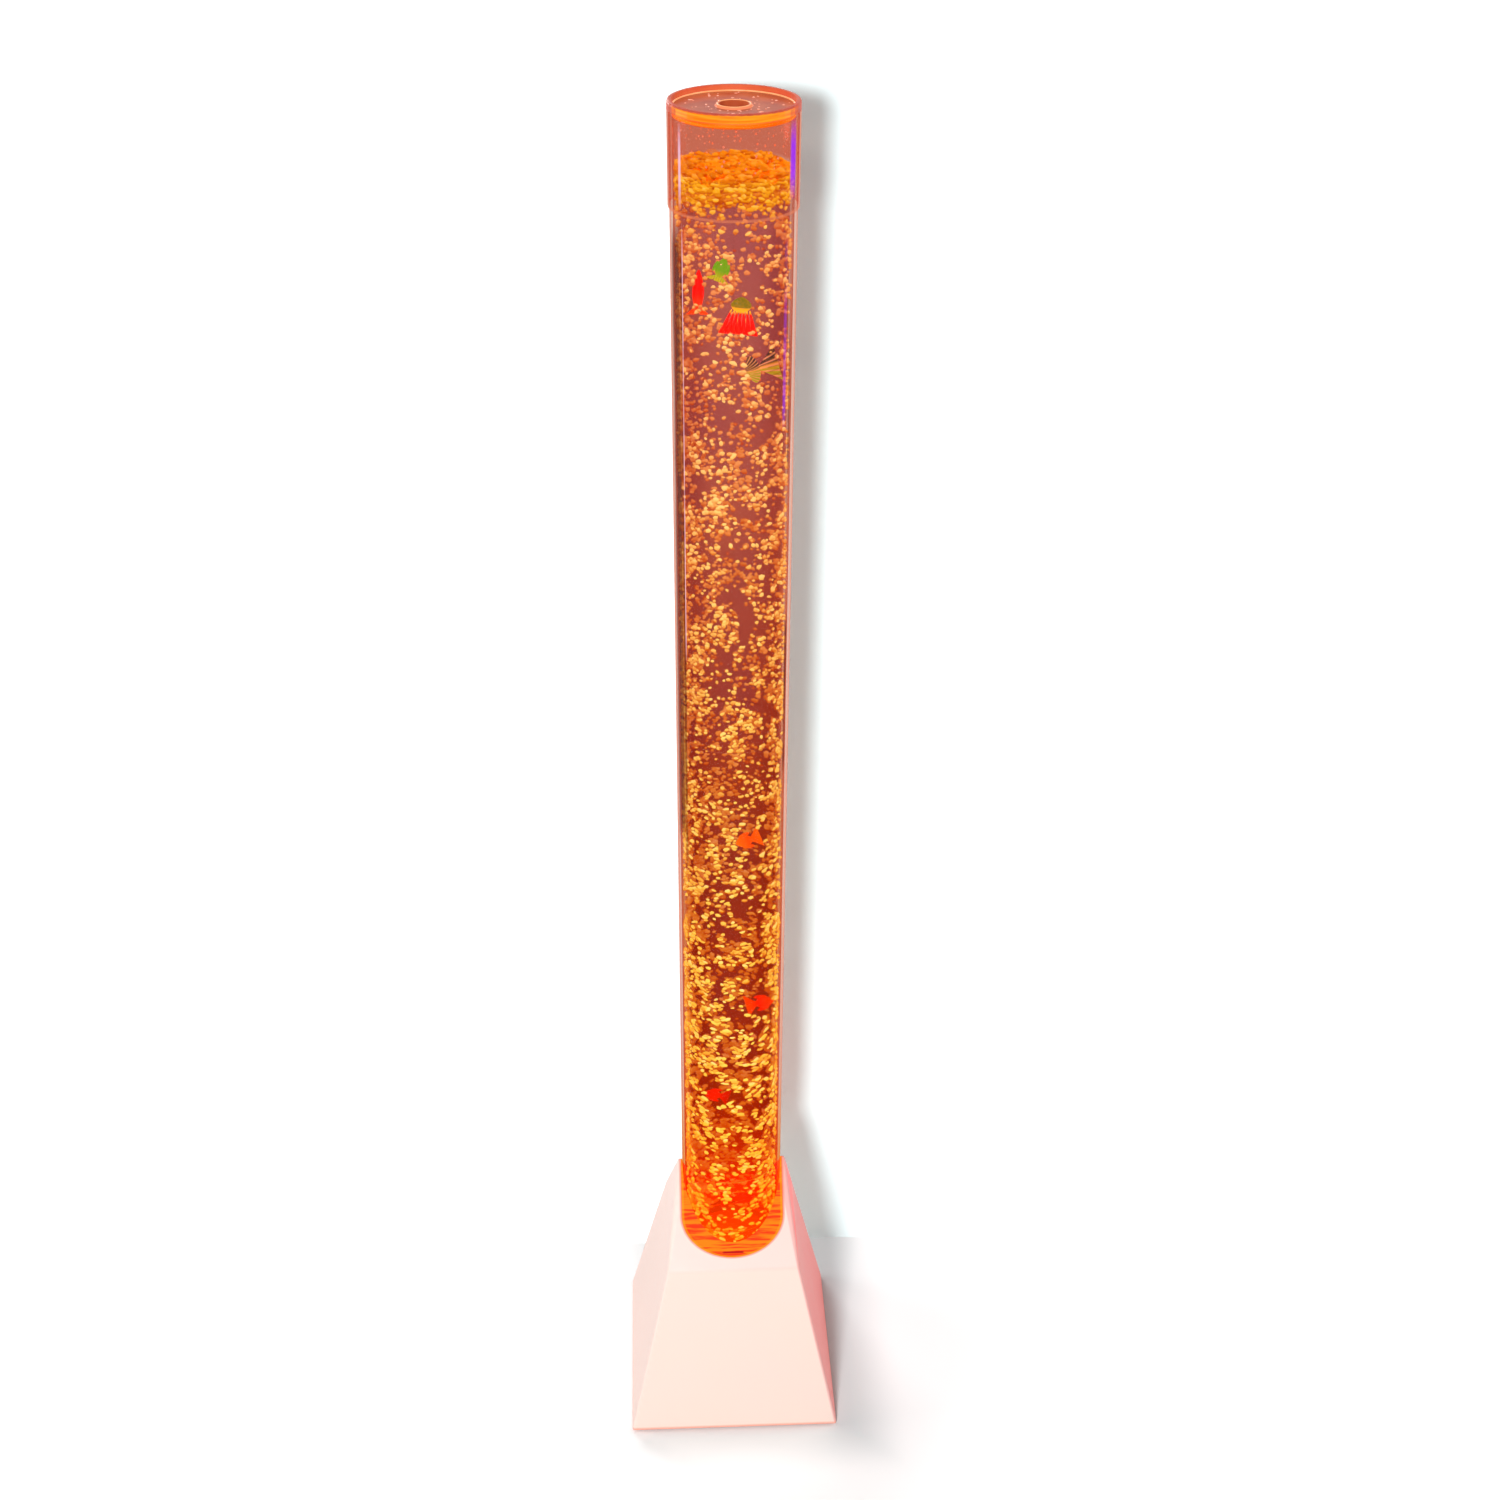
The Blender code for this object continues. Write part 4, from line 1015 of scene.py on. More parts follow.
    def domes(self) -> list:
        """Chooses the big bubbles on the water.

        Returns:
            The bubbles, which bulge out of the surface.
        """
        dice = random.Random(self.seed + 9)
        found = []
        for _ in range(900):
            turn, reach = dice.uniform(0, math.tau), self.radius * math.sqrt(dice.random())
            size = dice.uniform(*self.crown_sizes)
            place = around(turn, min(reach, self.radius - size * 1.05 - 0.001), 0.0)
            place.z = self.surface(place.x, place.y) - size * 0.35
            apart = all((place - other.place).length > 0.7 * (size + other.size) for other in found)
            if apart and len(found) < self.crowns:
                found.append(Bubble(place, size, (1.0, 1.0, 0.85), (0, 0, turn), 0.25 + dice.random() * 0.4))
        return found

    def cloud(self, rows: list, name: str, finish: Material, facets: int = 1) -> Piece:
        """Builds one piece from many bubbles.

        Args:
            rows: The bubbles.
            name: The piece's name.
            finish: The bubbles' material.
            facets: How finely each bubble is divided.

        Returns:
            The piece, whose points carry their bubble's tone.
        """
        dice = random.Random(len(rows) + self.seed)
        whole = bmesh.new()
        part = bpy.data.meshes.new("bubble_batch")
        per = 0
        for start in range(0, len(rows), self.batch):
            batch = bmesh.new()
            for row in rows[start:start + self.batch]:
                grid = Matrix.LocRotScale(row.place, Euler(row.turn), Vector(row.squash))
                made = bmesh.ops.create_icosphere(batch, subdivisions=facets, radius=row.size, matrix=grid)["verts"]
                per = len(made)
                if facets == 1:
                    for vert in made:
                        vert.co += (vert.co - row.place) * dice.uniform(-0.30, 0.30)
            batch.to_mesh(part)
            batch.free()
            whole.from_mesh(part)
            part.clear_geometry()
        bpy.data.meshes.remove(part)
        piece = to_object(whole, name, finish)
        tones = piece.data.attributes.new("tone", "FLOAT", "POINT")
        tones.data.foreach_set("value", [row.tone for row in rows for _ in range(per)])
        return piece

    def build(self) -> list:
        """Builds the whole column.

        Returns:
            Its pieces, which all stand still.
        """
        skin = BubbleSkin("air_bubble").material()
        rows = self.scatter()
        share = math.ceil(len(rows) / 4)
        pieces = [self.body(), self.deep()]
        pieces += [self.cloud(rows[i * share:(i + 1) * share], f"bubbles_{i + 1}", skin) for i in range(4)]
        pieces.append(self.cloud(self.froth(), "foam", skin))
        pieces.append(self.cloud(self.domes(), "surface_domes", DOME_FILM.material(), facets=3))
        for piece in pieces:
            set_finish(piece, "clear_acrylic")
        return pieces


@dataclass
class Droplets:
    """Drops of water left on the tube's inner wall above the water and on the lid."""

    radius: float = 0.0708
    low: float = 1.932
    high: float = 1.978
    disc_top: float = 1.9925
    on_wall: int = 150
    on_lid: int = 70
    seed: int = 3

    def build(self) -> Tuple[Piece, Piece]:
        """Builds the drops.

        Returns:
            The drops on the wall and the drops on the lid.
        """
        dice = random.Random(self.seed)
        finish = WetDrop("wet_drop").material()
        wall, top = bmesh.new(), bmesh.new()
        for _ in range(self.on_wall):
            turn, height, size = draw(dice, (0, math.tau), (self.low, self.high), (0.0005, 0.0016))
            grid = Matrix.LocRotScale(around(turn, self.radius, height), Euler((0, 0, turn)), Vector((0.35, 1.0, 1.15)))
            bmesh.ops.create_icosphere(wall, subdivisions=1, radius=size, matrix=grid)
        for _ in range(self.on_lid):
            turn, reach, size, long = draw(dice, (0, math.tau), (0.025, 0.066), (0.0007, 0.0021), (0.8, 1.5))
            grid = Matrix.LocRotScale(around(turn, reach, self.disc_top + 0.0001), None, Vector((long, 1.0, 0.4)))
            bmesh.ops.create_icosphere(top, subdivisions=1, radius=size, matrix=grid)
        return to_object(wall, "wall_drops", finish), to_object(top, "lid_drops", finish)


# ---- the base

ROOFS = {way: Vector((0.0, way * 0.80837, 0.58868)) for way in (1.0, -1.0)}
SHELL_PLANES = [Vector((x * 0.97752, y * 0.97752, 0.21083)) for x, y in ((1, 0), (-1, 0), (0, 1), (0, -1))]
SHELL_PLANES += [*ROOFS.values()] + [Vector((way * 0.99062, 0.0, 0.13664)) for way in (1, -1)]


def widen(bm: Mesh, half: float, slack: float) -> None:
    """Slides the edge of the opening down the roofs, so that the opening is a wide U.

    Args:
        bm: The shell or the collar.
        half: Half the opening's width.
        slack: How near to the edge a point is to be.
    """
    for vert in bm.verts:
        x, y = vert.co.x, abs(vert.co.y)
        off = abs(math.hypot(x, max(y - OPENING_CENTRE, 0.0)) - half)
        if off >= slack or vert.co.z <= BELOW_OPENING or y < OPENING_CENTRE - 0.001:
            continue
        share = min(1.0, abs(x) / half)
        roof = SHOULDER + ROOF_SLOPE * (SHOULDER_HALF - y)
        drop = min(0.0, ARCH_SPRING - ARCH_DROP * math.sqrt(1.0 - share * share) - roof)
        vert.co.z += drop
        vert.co.y += math.copysign(drop / ROOF_SLOPE, vert.co.y)


def carried(node: str) -> Mesh:
    """Takes up the mesh of a CAD node.

    Args:
        node: The node's name.

    Returns:
        Its mesh, cleaned.
    """
    bm = bmesh.new()
    bm.from_mesh(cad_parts[node].data)
    clean(bm, 1e-6)
    return bm


def make_collar() -> Piece:
    """Builds the frosted collar, whose face fills the wide U round the tube.

    Returns:
        The collar, which replaces its CAD node and rides on the stand.
    """
    bm = carried("light_collar")
    widen(bm, COLLAR_HALF, 0.0002)
    bmesh.ops.recalc_face_normals(bm, faces=bm.faces[:])
    piece = to_object(bm, "collar_face", CollarGlow("frosted_face").material(), smooth=False)
    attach(piece, "stand")
    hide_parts("light_collar")
    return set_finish(piece, "frosted_collar")


@dataclass
class BaseShell:
    """The flared square shell, with its edges rounded and its U-shaped opening rimmed."""

    round_edge: float = 0.0032
    segments: int = 4
    sharp: float = 14.0
    lip: float = 0.004
    plate: float = 0.002
    mouth: float = 0.092

    def build(self) -> Piece:
        """Builds the shell from the CAD shell, with rounded edges.

        Returns:
            The shell.
        """
        bm = carried("base_shell")
        bmesh.ops.dissolve_limit(bm, angle_limit=math.radians(1.0), verts=bm.verts[:], edges=bm.edges[:])
        widen(bm, OPENING_HALF, 0.0004)
        self.renew_roofs(bm)
        outer = [edge for edge in bm.edges if self.is_corner(edge)]
        bmesh.ops.bevel(bm, geom=outer, offset=self.round_edge, offset_type="OFFSET", affect="EDGES",
                        segments=self.segments, profile=0.5, material=-1, clamp_overlap=True)
        bmesh.ops.triangulate(bm, faces=[f for f in bm.faces if len(f.verts) > 4])
        bmesh.ops.recalc_face_normals(bm, faces=bm.faces[:])
        piece = to_object(bm, "shell_skin", ShellSkin("pale_shell").material())
        piece.data.set_sharp_from_angle(angle=math.radians(40))
        for face in piece.data.polygons:
            face.use_smooth = all(abs(face.normal.dot(plane)) < 0.9993 for plane in SHELL_PLANES)
        return piece

    def renew_roofs(self, bm: Mesh) -> None:
        """Makes each sloping roof again as one face, round the moved points of the opening.

        Args:
            bm: The shell, which is changed.
        """
        bm.normal_update()
        for way in (-1.0, 1.0):
            slope = ROOFS[way]
            faces = [face for face in bm.faces
                     if abs(face.normal.dot(slope)) > 0.9995 and face.calc_center_median().y * way > 0.0]
            for turned in (True, False):
                part = [face for face in faces if face.is_valid and (face.normal.dot(slope) > 0) is turned]
                count: dict = {}
                for face in part:
                    for edge in face.edges:
                        count[edge] = count.get(edge, 0) + 1
                border = [edge for edge, times in count.items() if times == 1]
                inner = [edge for edge, times in count.items() if times > 1]
                bmesh.ops.delete(bm, geom=part, context="FACES_ONLY")
                bmesh.ops.delete(bm, geom=inner, context="EDGES")
                bmesh.ops.contextual_create(bm, geom=[edge for edge in border if edge.is_valid])

    def is_corner(self, edge: bmesh.types.BMEdge) -> bool:
        """Tells which edges of the shell get rounded.

        Args:
            edge: One of its edges.

        Returns:
            Whether it is an outer corner.
        """
        if len(edge.link_faces) != 2 or edge.calc_face_angle(0.0) < math.radians(self.sharp):
            return False
        ends = [v.co for v in edge.verts]
        if all(c.z < self.lip for c in ends):
            return all(max(abs(c.x), abs(c.y)) > FOOT_HALF - 0.001 for c in ends)
        for c in ends:
            wall = FOOT_HALF - (c.z - self.plate) * WALL_RUN
            if max(abs(c.x), abs(c.y)) <= wall - 0.0006 and c.z <= SHOULDER - 0.0007:
                return False
        if all(abs(c.y) < self.mouth and abs(c.x) < OPENING_HALF + 0.0015 for c in ends):
            return False
        return edge.calc_face_angle_signed(0.0) > 0


# ---- the fish

@dataclass
class Fish:
    """One model fish: a lens-shaped body, a tail, two fins and its eyes."""

    node: str
    body: str
    slot: str
    place: Point
    length: float
    height: float
    heading: float
    skin: FishSkin
    tail_share: float
    frills: int
    fins: bool
    plump: float
    root_spread: float
    thick: float = 0.008

    def build(self) -> Piece:
        """Builds the fish in its place.

        Returns:
            The fish, which replaces its CAD node and rides on its body.
        """
        bm = bmesh.new()
        trunk = self.length * (1 - self.tail_share)
        made = bmesh.ops.create_uvsphere(bm, u_segments=20, v_segments=12, radius=0.5)["verts"]
        bmesh.ops.rotate(bm, verts=made, cent=(0, 0, 0), matrix=Matrix.Rotation(math.pi / 2, 3, "Y"))
        for vert in made:
            share = vert.co.x + 0.5
            slim = 0.62 + 0.38 * math.sin(math.pi * min(1.0, share * 0.9 + 0.12))
            vert.co = Vector((self.length / 2 - trunk + share * trunk, vert.co.y * self.thick * slim,
                              vert.co.z * self.height * self.plump * slim))
        self.fan(bm, Vector((self.length / 2 - trunk * 0.82, 0, 0)), self.length - trunk * 0.86, self.height * 0.98)
        if self.fins:
            self.fin(bm, 1.0)
            self.fin(bm, -1.0)
        for side in (-1.0, 1.0):
            place = Matrix.Translation((self.length * 0.36, side * self.thick * 0.33, self.height * 0.08))
            bmesh.ops.create_uvsphere(bm, u_segments=10, v_segments=6, radius=self.height * 0.045, matrix=place)
        clean(bm, 1e-6)
        piece = to_object(bm, self.node + "_painted", self.skin.material())
        self.mark(piece)
        piece.data.transform(Matrix.Translation(self.place) @ Matrix.Rotation(-math.radians(self.heading), 4, "Y"))
        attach(piece, self.body)
        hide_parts(self.node)
        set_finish(piece, self.slot)
        return piece

    def fan(self, bm: Mesh, root: Vector, reach: float, spread: float) -> None:
        """Adds the tail, a thin fan of tapering frills.

        Args:
            bm: The fish in the making.
            root: Where the tail starts.
            reach: How far it reaches back.
            spread: How wide it spreads at its end.
        """
        for i in range(self.frills):
            side = (i / (self.frills - 1)) * 2 - 1
            tip = Vector((-reach, 0.0, side * spread * 0.5))
            made = bmesh.ops.create_cone(bm, cap_ends=True, cap_tris=False, segments=8, radius1=1.0, radius2=0.45,
                                         depth=1.0)["verts"]
            wide = spread / self.frills * 0.62
            for vert in made:
                share = 0.5 - vert.co.z
                bow = math.sin(share * math.pi) * 0.12 * reach * side
                start = root.z + side * self.height * self.root_spread * (1 - share)
                vert.co = Vector((root.x + tip.x * share,
                                  vert.co.y * self.thick * 0.14 + math.sin(share * 5 + i) * self.thick * 0.10,
                                  start + tip.z * share + bow * 0.2 + vert.co.x * wide * (0.35 + share * 0.75)))

    def fin(self, bm: Mesh, side: float) -> None:
        """Adds a thin fin.

        Args:
            bm: The fish in the making.
            side: 1 for the back, -1 for the belly.
        """
        made = bmesh.ops.create_uvsphere(bm, u_segments=12, v_segments=6, radius=0.5)["verts"]
        for vert in made:
            lean = vert.co.z * 0.3
            vert.co = Vector((self.length * (0.08 + vert.co.x * 0.42 - lean * 0.5), vert.co.y * self.thick * 0.22,
                              side * self.height * (0.26 + (vert.co.z + 0.5) * 0.22)))

    def mark(self, piece: Piece) -> None:
        """Writes each point's place from tail to nose and from belly to back.

        Args:
            piece: The fish.
        """
        points = piece.data.vertices
        for name, values in (("along", [v.co.x / self.length + 0.5 for v in points]),
                             ("up", [v.co.z / self.height + 0.5 for v in points])):
            piece.data.attributes.new(name, "FLOAT", "POINT").data.foreach_set("value", values)


# ---- the panel and the rings

@dataclass
class PanelTrim:
    """Raised trims on the back panel: a ring round each button and round the jack."""

    middle: Point = (0.0, 0.14583, 0.070)
    outward: Point = (0.0, 0.977524, 0.210825)
    lift: float = 0.0027
    places: Tuple[Tuple[str, float, float], ...] = (
        ("power", -0.025, 0.0074), ("colour", -0.007, 0.0074), ("jack", 0.024, 0.0066))

    def build(self) -> list:
        """Builds the rings on the panel's face.

        Returns:
            The rings.
        """
        out = Vector(self.outward)
        side = Vector((-1, 0, 0))
        turn = Matrix((side, -out.cross(side), out)).transposed().to_4x4()
        rings = []
        finish = Metal("panel_trim", (0.62, 0.62, 0.64), 0.28, (1, 1, 1)).material()
        for name, along, radius in self.places:
            bm = hoop(radius, 0.0005, 0.0, 48, 10)
            spot = Vector(self.middle) + side * along + out * self.lift
            bmesh.ops.transform(bm, verts=bm.verts[:], matrix=Matrix.Translation(spot) @ turn)
            clean(bm)
            rings.append(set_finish(to_object(bm, f"trim_{name}", finish), "steel"))
        return rings


@dataclass
class GlowRings:
    """Thin bright lines where the lamp's light leaves the acrylic: the disc's corners and the edges of its hole, and
    the tube's joints, seat and floor.
    """

    upper: Point = (3.0, 3.0, 60.0)
    lower: Point = (6.0, 6.0, 40.0)

    def build_lid(self) -> list:
        """Builds the lines that lift with the lid.

        Returns:
            The lines.
        """
        peach = LampGlow("peach_line", (1.0, 0.46, 0.20), (1.0, 0.34, 0.12), 0.85).material()
        amber = LampGlow("amber_line", (1.0, 0.36, 0.02), (1.0, 0.22, 0.0), 0.8, self.upper).material()
        return self.lines(
            ("disc_top_line", 0.0702, 0.0009, 1.9934, peach), ("disc_low_line", 0.0703, 0.0006, 1.9829, amber),
            ("hole_line", 0.0190, 0.0007, 1.9946, peach), ("hole_low_line", 0.0171, 0.0004, 1.9830, peach))

    def build_stand(self) -> list:
        """Builds the lines that stay on the tube.

        Returns:
            The lines.
        """
        faint = LampGlow("faint_line", (0.9, 0.25, 0.12), (0.75, 0.16, 0.08), 0.3, self.lower, 0.4).material()
        hot = LampGlow("hot_line", (1.0, 0.40, 0.02), (1.0, 0.2, 0.0), 0.6, self.lower, 0.75).material()
        return self.lines(
            ("joint_line", 0.0705, 0.0004, 1.1790, faint), ("lower_joint_line", 0.0705, 0.0005, 0.4300, hot),
            ("seat_line", 0.0702, 0.0005, 0.3300, hot), ("floor_line", 0.0700, 0.0008, 0.2560, hot))

    def lines(self, *rows: tuple) -> list:
        """Builds a ring for each row of name, radius, thickness, height and finish."""
        return [to_object(hoop(*measures), name, finish) for name, *measures, finish in rows]


# ---- finishes of the CAD parts

PALE = Moulded("pale_moulding", (0.86, 0.80, 0.77), (0.90, 0.85, 0.82), 0.45)
DARK = Moulded("dark_moulding", (0.022, 0.022, 0.025), (0.035, 0.034, 0.036), 0.42, 1200.0)
BY_SLOT = {
    "shell_plastic": PALE, "dark_plastic": DARK,
    "black_rubber": Moulded("black_rubber", (0.016, 0.016, 0.016), (0.030, 0.029, 0.028), 0.72, 1500.0, 0.0001, 0.3),
    "steel": Metal("bright_steel", (0.62, 0.62, 0.63), 0.25),
    "aluminium": Metal("plain_aluminium", (0.74, 0.75, 0.77), 0.36),
    "copper_wire": Winding("copper_winding"), "circuit_board": Board("green_board"),
    "clear_hose": Moulded("soft_hose", (0.72, 0.75, 0.74), (0.80, 0.82, 0.80), 0.22, 500.0, 0.00002, 0.6),
    "red_plastic": Moulded("red_key", (0.55, 0.02, 0.015), (0.62, 0.035, 0.02), 0.22, 700.0, 0.00003, 0.6),
    "smoked_window": Moulded("smoked_window", (0.035, 0.004, 0.004), (0.05, 0.006, 0.006), 0.08, 600.0, 0.00001, 0.7),
    "lamp_lens": LampGlow("lamp_lens", (1.0, 0.46, 0.05), (1.0, 0.26, 0.0), 0.9, (60.0, 60.0, 10.0)),
    "frosted_collar": CollarGlow("frosted_collar"),
    "clear_acrylic": ClearWall("clear_fitting", (0.9, 0.86, 0.84), (0.88, 0.84, 0.82), 0.001, (), gloss=0.3),
}
BY_NODE = {
    # the tube's gleams are painted highlights and its streaks painted dark reflections
    "tube": ClearWall(
        "tube_wall",
        gleams=(Streak(-0.66, 0.05, 1.62, 1.86, 0.5, 0.50), Streak(-2.53, 0.014, 1.30, 1.87, 0.9, 0.40)),
        streaks=(Streak(-2.87, 0.075, 1.00, 1.86, 0.72, 0.46), Streak(-2.74, 0.20, 1.02, 1.87, 0.80, 0.30),
                 Streak(-2.56, 0.045, 0.98, 1.87, 0.70, 0.44), Streak(-0.478, 0.055, 1.12, 1.37, 0.92),
                 Streak(-0.50, 0.05, 1.55, 1.74, 0.5, 0.48))),
    # the sleeve's gleams are painted highlights
    "lid_sleeve": ClearWall(
        "sleeve_wall", (0.965, 0.92, 0.90), (0.965, 0.93, 0.92), 0.0762, (1.8800, 1.8815), (0.965, 0.93, 0.92),
        gleams=(Streak(-0.545, 0.105, 1.895, 1.988, 0.85, 0.2), Streak(-2.54, 0.040, 1.885, 1.985, 0.85, 0.2))),
    "lid_plate": LidGlass("lid_glass"),
    "tube_floor": LampGlow("tube_floor_glow", (1.0, 0.30, 0.0), (0.85, 0.06, 0.0), 0.75, (60.0, 60.0, 30.0)),
    "air_diffuser": LampGlow("diffuser_glow", (1.0, 0.36, 0.0), (0.92, 0.07, 0.0), 0.7, (5.0, 70.0, 20.0)),
    "air_inlet": LampGlow("inlet_glow", (0.9, 0.16, 0.0), (0.55, 0.04, 0.0), 0.5),
    "colour_button": Moulded("white_key", (0.82, 0.82, 0.80), (0.88, 0.88, 0.86), 0.28),
}


def finish_parts() -> None:
    """Gives each carried-over part its finish, by part or by the record's slot."""
    made: dict = {}
    for name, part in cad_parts.items():
        slot_name = part.material_slots[0].material.name.split(".")[0]
        finish = BY_NODE.get(name) or BY_SLOT.get(slot_name) or DARK
        if finish.name not in made:
            made[finish.name] = finish.material()
        for place in part.material_slots:
            place.material = made[finish.name]
        LOG.info("finish %s on %s", finish.name, name)


# ---- stage, lamps and camera

@dataclass(frozen=True)
class Paper(Finish):
    """White paper that stays white to the camera and keeps shadows, with a painted shadow that makes it a little darker
    round the base.

    A one_way paper is seen by the camera only, and only from the front.
    """

    one_way: bool
    white: float = 1.30
    middle: Pair = (0.032, 0.042)
    longer: float = 0.058

    def surface(self, bench: Bench) -> Wire:
        """Mixes the surface.

        Args:
            bench: The bench of the material in the making.

        Returns:
            The surface's shader.
        """
        camera, white = bench.ray("Is Camera Ray"), self.white
        plain = bench.noise(300.0, 3.0).rise(0.3, 0.7).mix((0.90,) * 3, (0.92,) * 3)
        # painted shadow: the floor darker in a soft box round the base
        beside, ahead = abs(bench.x - self.middle[0]), abs(bench.y - self.middle[1]) - self.longer
        away = bench.most(beside, ahead).rise(0.145, 0.245, soft=True)
        ground = away.mix((white * 0.72, white * 0.75, white * 0.755), (white,) * 3)
        tone = camera.mix(plain, (white * 0.85, white, white * 1.02) if self.one_way else ground)
        lift = bench.seen() * bench.radius().rise(0.30, 1.2, soft=True)
        lit = bench.both(bench.make("BsdfDiffuse", {0: tone}), bench.glow(WHITE, lift))
        if not self.one_way:
            return lit
        hidden = bench.most(bench.make("NewGeometry", {}, "Backfacing"), 1.0 - camera)
        even = bench.ray("Transparent Depth").rise(0.4, 0.6).blend(lit, bench.glow((0.80,) * 3))
        return hidden.blend(even, bench.clear(WHITE))


@dataclass
class Studio:
    """A pale floor and screen, soft lamps, and the camera at the photograph's viewing angle."""

    eye: Point = (-0.0968198628, -2.33901818, 2.53346298)
    pitch: float = 0.536004674
    yaw: float = 0.0515848086
    roll: float = 0.00787976586
    lens: float = 48.4754
    screen: float = 0.25
    lamps: Tuple[Tuple[str, Point, float, float, float], ...] = (
        ("key", (-1.05, -4.62, 2.95), 0.9, 0.75, 215.0), ("side_fill", (2.8, 0.55, 2.0), 0.8, 1.8, 20.0),
        ("left_fill", (-2.8, 0.5, 1.6), 0.4, 1.6, 20.0), ("back_fill", (-1.6, 3.4, 2.4), 0.8, 2.2, 70.0))

    def camera(self) -> None:
        """Places the camera."""
        data = bpy.data.cameras.new("camera")
        data.lens, data.sensor_width, data.sensor_fit = self.lens, 36.0, "HORIZONTAL"
        data.clip_start, data.clip_end = 0.05, 100.0
        level = math.cos(self.pitch)
        ahead = Vector((math.sin(self.yaw) * level, math.cos(self.yaw) * level, -math.sin(self.pitch)))
        right = Vector((math.cos(self.yaw), -math.sin(self.yaw), 0.0))
        up = right.cross(ahead)
        side = right * math.cos(self.roll) + up * math.sin(self.roll)
        top = up * math.cos(self.roll) - right * math.sin(self.roll)
        camera = bpy.data.objects.new("camera", data)
        camera.matrix_world = Matrix.Translation(self.eye) @ Matrix((side, top, -ahead)).transposed().to_4x4()
        bpy.context.scene.collection.objects.link(camera)
        bpy.context.scene.camera = camera

    def stage(self) -> None:
        """Builds the floor and the screen behind the object."""
        floor, screen = bmesh.new(), bmesh.new()
        bmesh.ops.create_grid(floor, x_segments=1, y_segments=1, size=20.0)
        ground = to_object(floor, "floor", Paper("floor_paper", False).material())
        upright = Matrix.Rotation(math.pi / 2, 4, "X") @ Matrix.Diagonal((4.0, 2.0, 1.0, 1.0))
        bmesh.ops.create_grid(screen, x_segments=1, y_segments=1, size=1.0,
                              matrix=Matrix.Translation((0, self.screen, 2.0)) @ upright)
        wall = to_object(screen, "screen", Paper("screen_paper", True).material())

    def light(self) -> None:
        """Adds the soft lamps, each aimed at a height of the tube, and the world's soft light."""
        for name, place, height, size, power in self.lamps:
            data = bpy.data.lights.new(name, "AREA")
            data.shape, data.size, data.energy = "DISK", size, power
            lamp = bpy.data.objects.new(name, data)
            sight = Vector((0.0, 0.0, height)) - Vector(place)
            lamp.matrix_world = Matrix.Translation(place) @ sight.to_track_quat("-Z", "Y").to_matrix().to_4x4()
            bpy.context.scene.collection.objects.link(lamp)
        world = bpy.data.worlds.new("soft_world")
        bpy.context.scene.world = world
        bench = Bench(world)
        strength = bench.seen().span(0.0, 1.0, 0.12, 1.0)
        bench.done(bench.make("Background", {"Color": WHITE, "Strength": strength}), "OutputWorld")

    def build(self) -> None:
        """Sets up the whole studio."""
        self.camera()
        self.stage()
        self.light()
        scene = bpy.context.scene
        scene.view_settings.view_transform = "Standard"
        scene.cycles.transparent_max_bounces = 40


# ---- the whole object

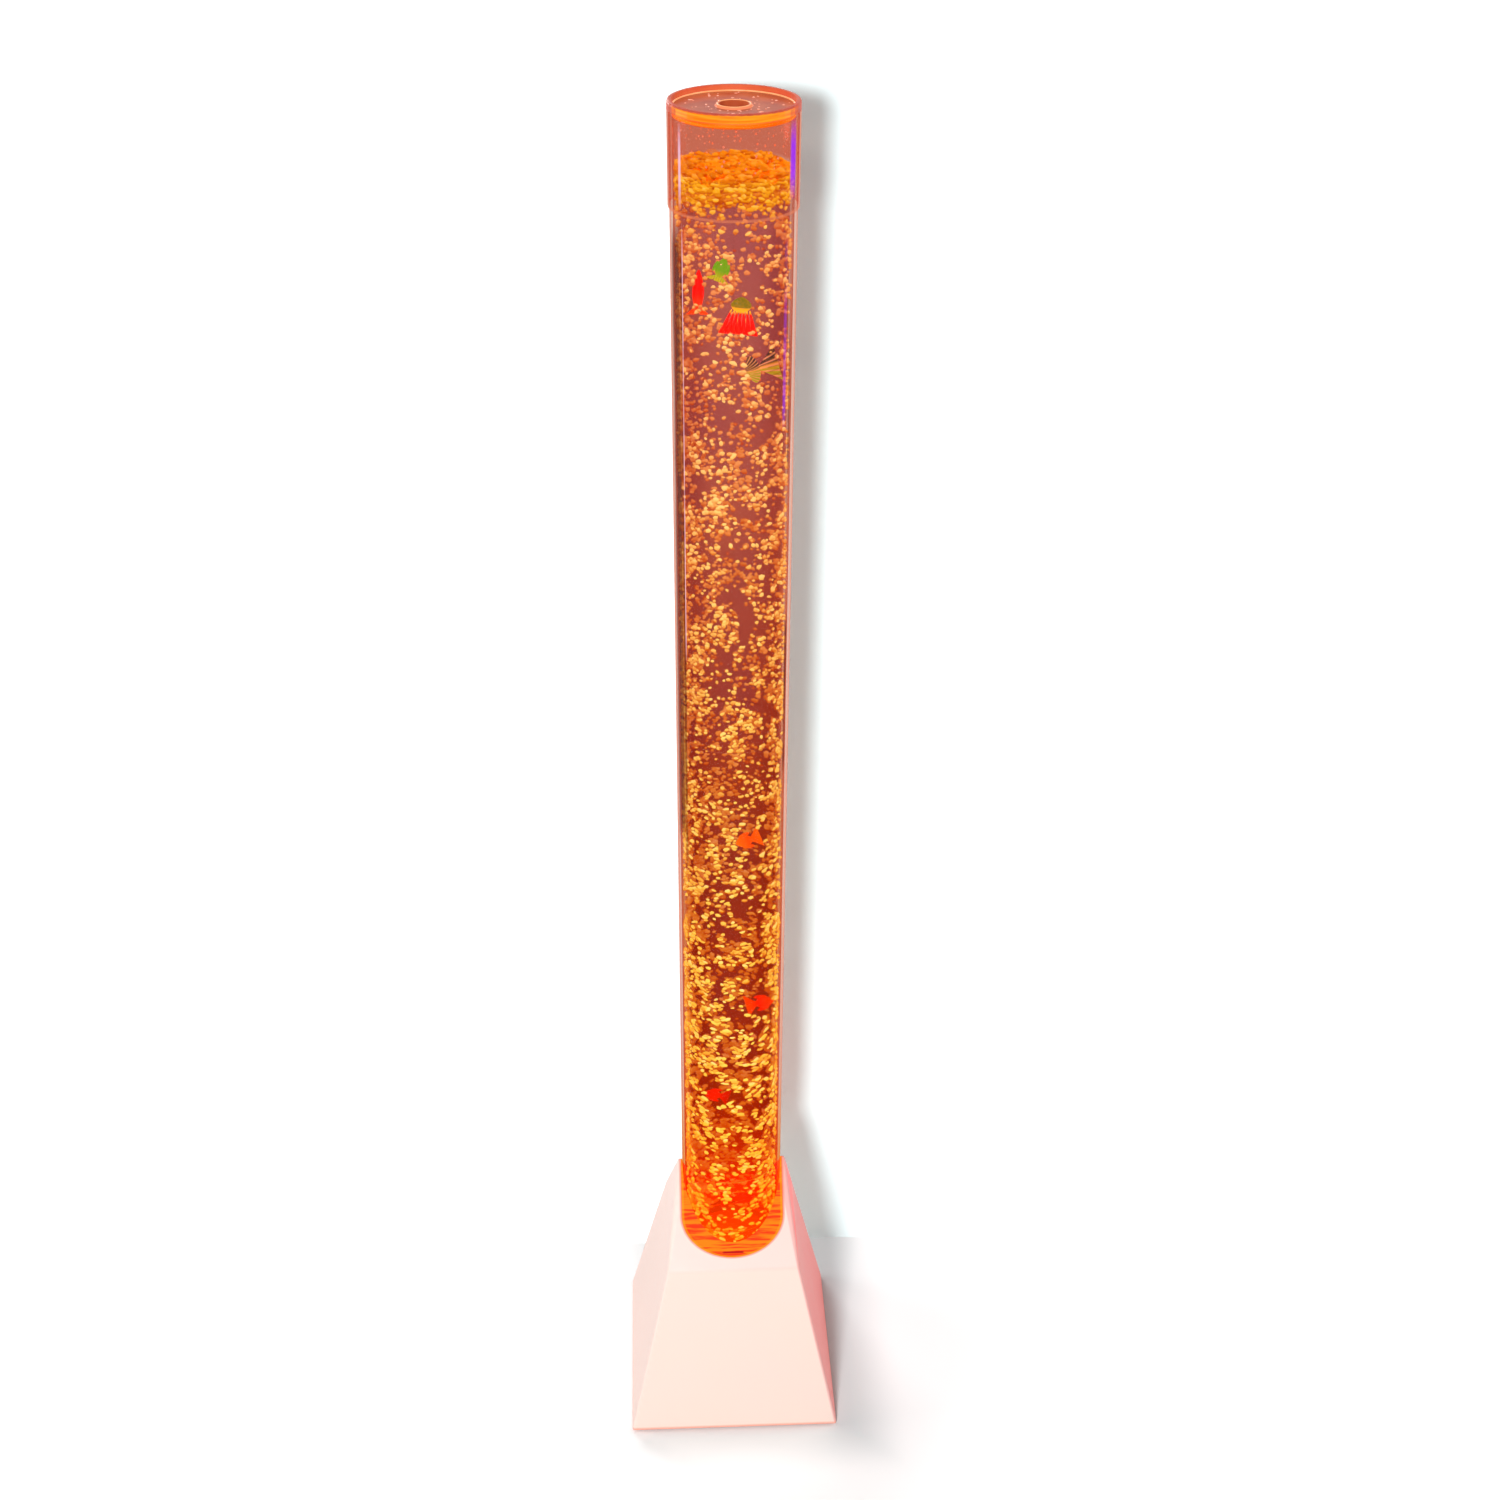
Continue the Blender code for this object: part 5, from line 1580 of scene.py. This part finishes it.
def make_fish() -> list:
    """Lists the eight fish.

    Returns:
        The fish, from the top of the tube down.
    """
    red, deep_red = (0.90, 0.02, 0.004), (0.55, 0.004, 0.002)
    orange, gold = (1.0, 0.22, 0.01), (1.0, 0.55, 0.02)
    plain, capped, tiger = Stripes.PLAIN, Stripes.CAPPED, Stripes.TIGER
    rows = (
        ("green", (-0.016, -0.0312, 1.8122), 0.030, 0.021, 70, (0.14, 0.75, 0.02), (0.10, 0.62, 0.01),
         (0.55, 0.85, 0.03), plain, 0.17, 3),
        ("spindle", (-0.0425, -0.0187, 1.7809), 0.056, 0.0168, 88, (1.0, 0.0, 0.0), (1.0, 0.0, 0.0), (1.0, 0.14, 0.01),
         plain, 0.08, 2),
        ("rainbow", (0.006, -0.0437, 1.7609), 0.046, 0.040, 84, (0.10, 0.26, 0.01), (1.0, 0.80, 0.03), (1.3, 0.0, 0.0),
         capped, 0.58, 7),
        ("striped", (0.0345, -0.0062, 1.6844), 0.042, 0.037, 196, (0.05, 0.07, 0.01), (0.50, 0.52, 0.03),
         (0.75, 0.72, 0.05), tiger, 0.55, 5),
        ("orange", (0.025, 0.0437, 0.9684), 0.038, 0.028, 200, gold, orange, (1.0, 0.40, 0.02), plain, 0.34, 4),
        ("coral", (0.041, 0.0062, 0.7080), 0.043, 0.030, 14, orange, red, orange, plain, 0.34, 4),
        ("red", (-0.0205, 0.0312, 0.5147), 0.040, 0.026, 165, red, red, deep_red, plain, 0.34, 4),
        ("crimson", (0.013, 0.0187, 0.3156), 0.060, 0.024, 4, deep_red, red, deep_red, plain, 0.34, 4),
    )
    plump = {"rainbow": 0.62, "spindle": 0.85, "striped": 0.96}
    return [Fish(f"fish_{name}", f"{name}_fish", f"fish_{name}_skin", place, length, height, heading,
                 FishSkin(f"painted_{name}", nose, middle, tail, stripes), share, frills, fins=name not in plump,
                 plump=plump.get(name, 0.72), root_spread=0.27 if name == "rainbow" else 0.0)
            for name, place, length, height, heading, nose, middle, tail, stripes, share, frills in rows]


def main() -> None:
    """Builds the scene in order and reports each piece."""
    logging.basicConfig(level=logging.INFO, format="%(name)s %(message)s")
    studio = Studio()
    studio.build()
    finish_parts()
    lanes, seen = [], []
    for fish in make_fish():
        piece = fish.build()
        low, high = (Vector([pick(v.co[i] for v in piece.data.vertices) for i in range(3)]) for pick in (min, max))
        lanes.append(((low.x + high.x) / 2, (high.x - low.x) / 2 + 0.0008, fish.place[1], 0.0048))
        seen.append((Vector(fish.place), min(fish.length, fish.height * 1.4) * 0.46))
        LOG.info("piece %s", piece.name)
    shell = BaseShell().build()
    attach(shell, "stand")
    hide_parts("base_shell")
    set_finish(shell, "shell_plastic")
    LOG.info("piece %s", shell.name)
    LOG.info("piece %s", make_collar().name)
    rings = GlowRings()
    on_wall, on_lid = Droplets().build()
    still = WaterColumn(lanes, seen, Vector(studio.eye)).build() + rings.build_stand() + PanelTrim().build() + [on_wall]
    lifting = rings.build_lid() + [on_lid]
    for pieces, body in ((still, "stand"), (lifting, "lid")):
        for piece in pieces:
            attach(piece, body)
            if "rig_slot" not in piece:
                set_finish(piece, "clear_acrylic")
            LOG.info("piece %s rides %s", piece.name, body)


if __name__ == "__main__":
    main()
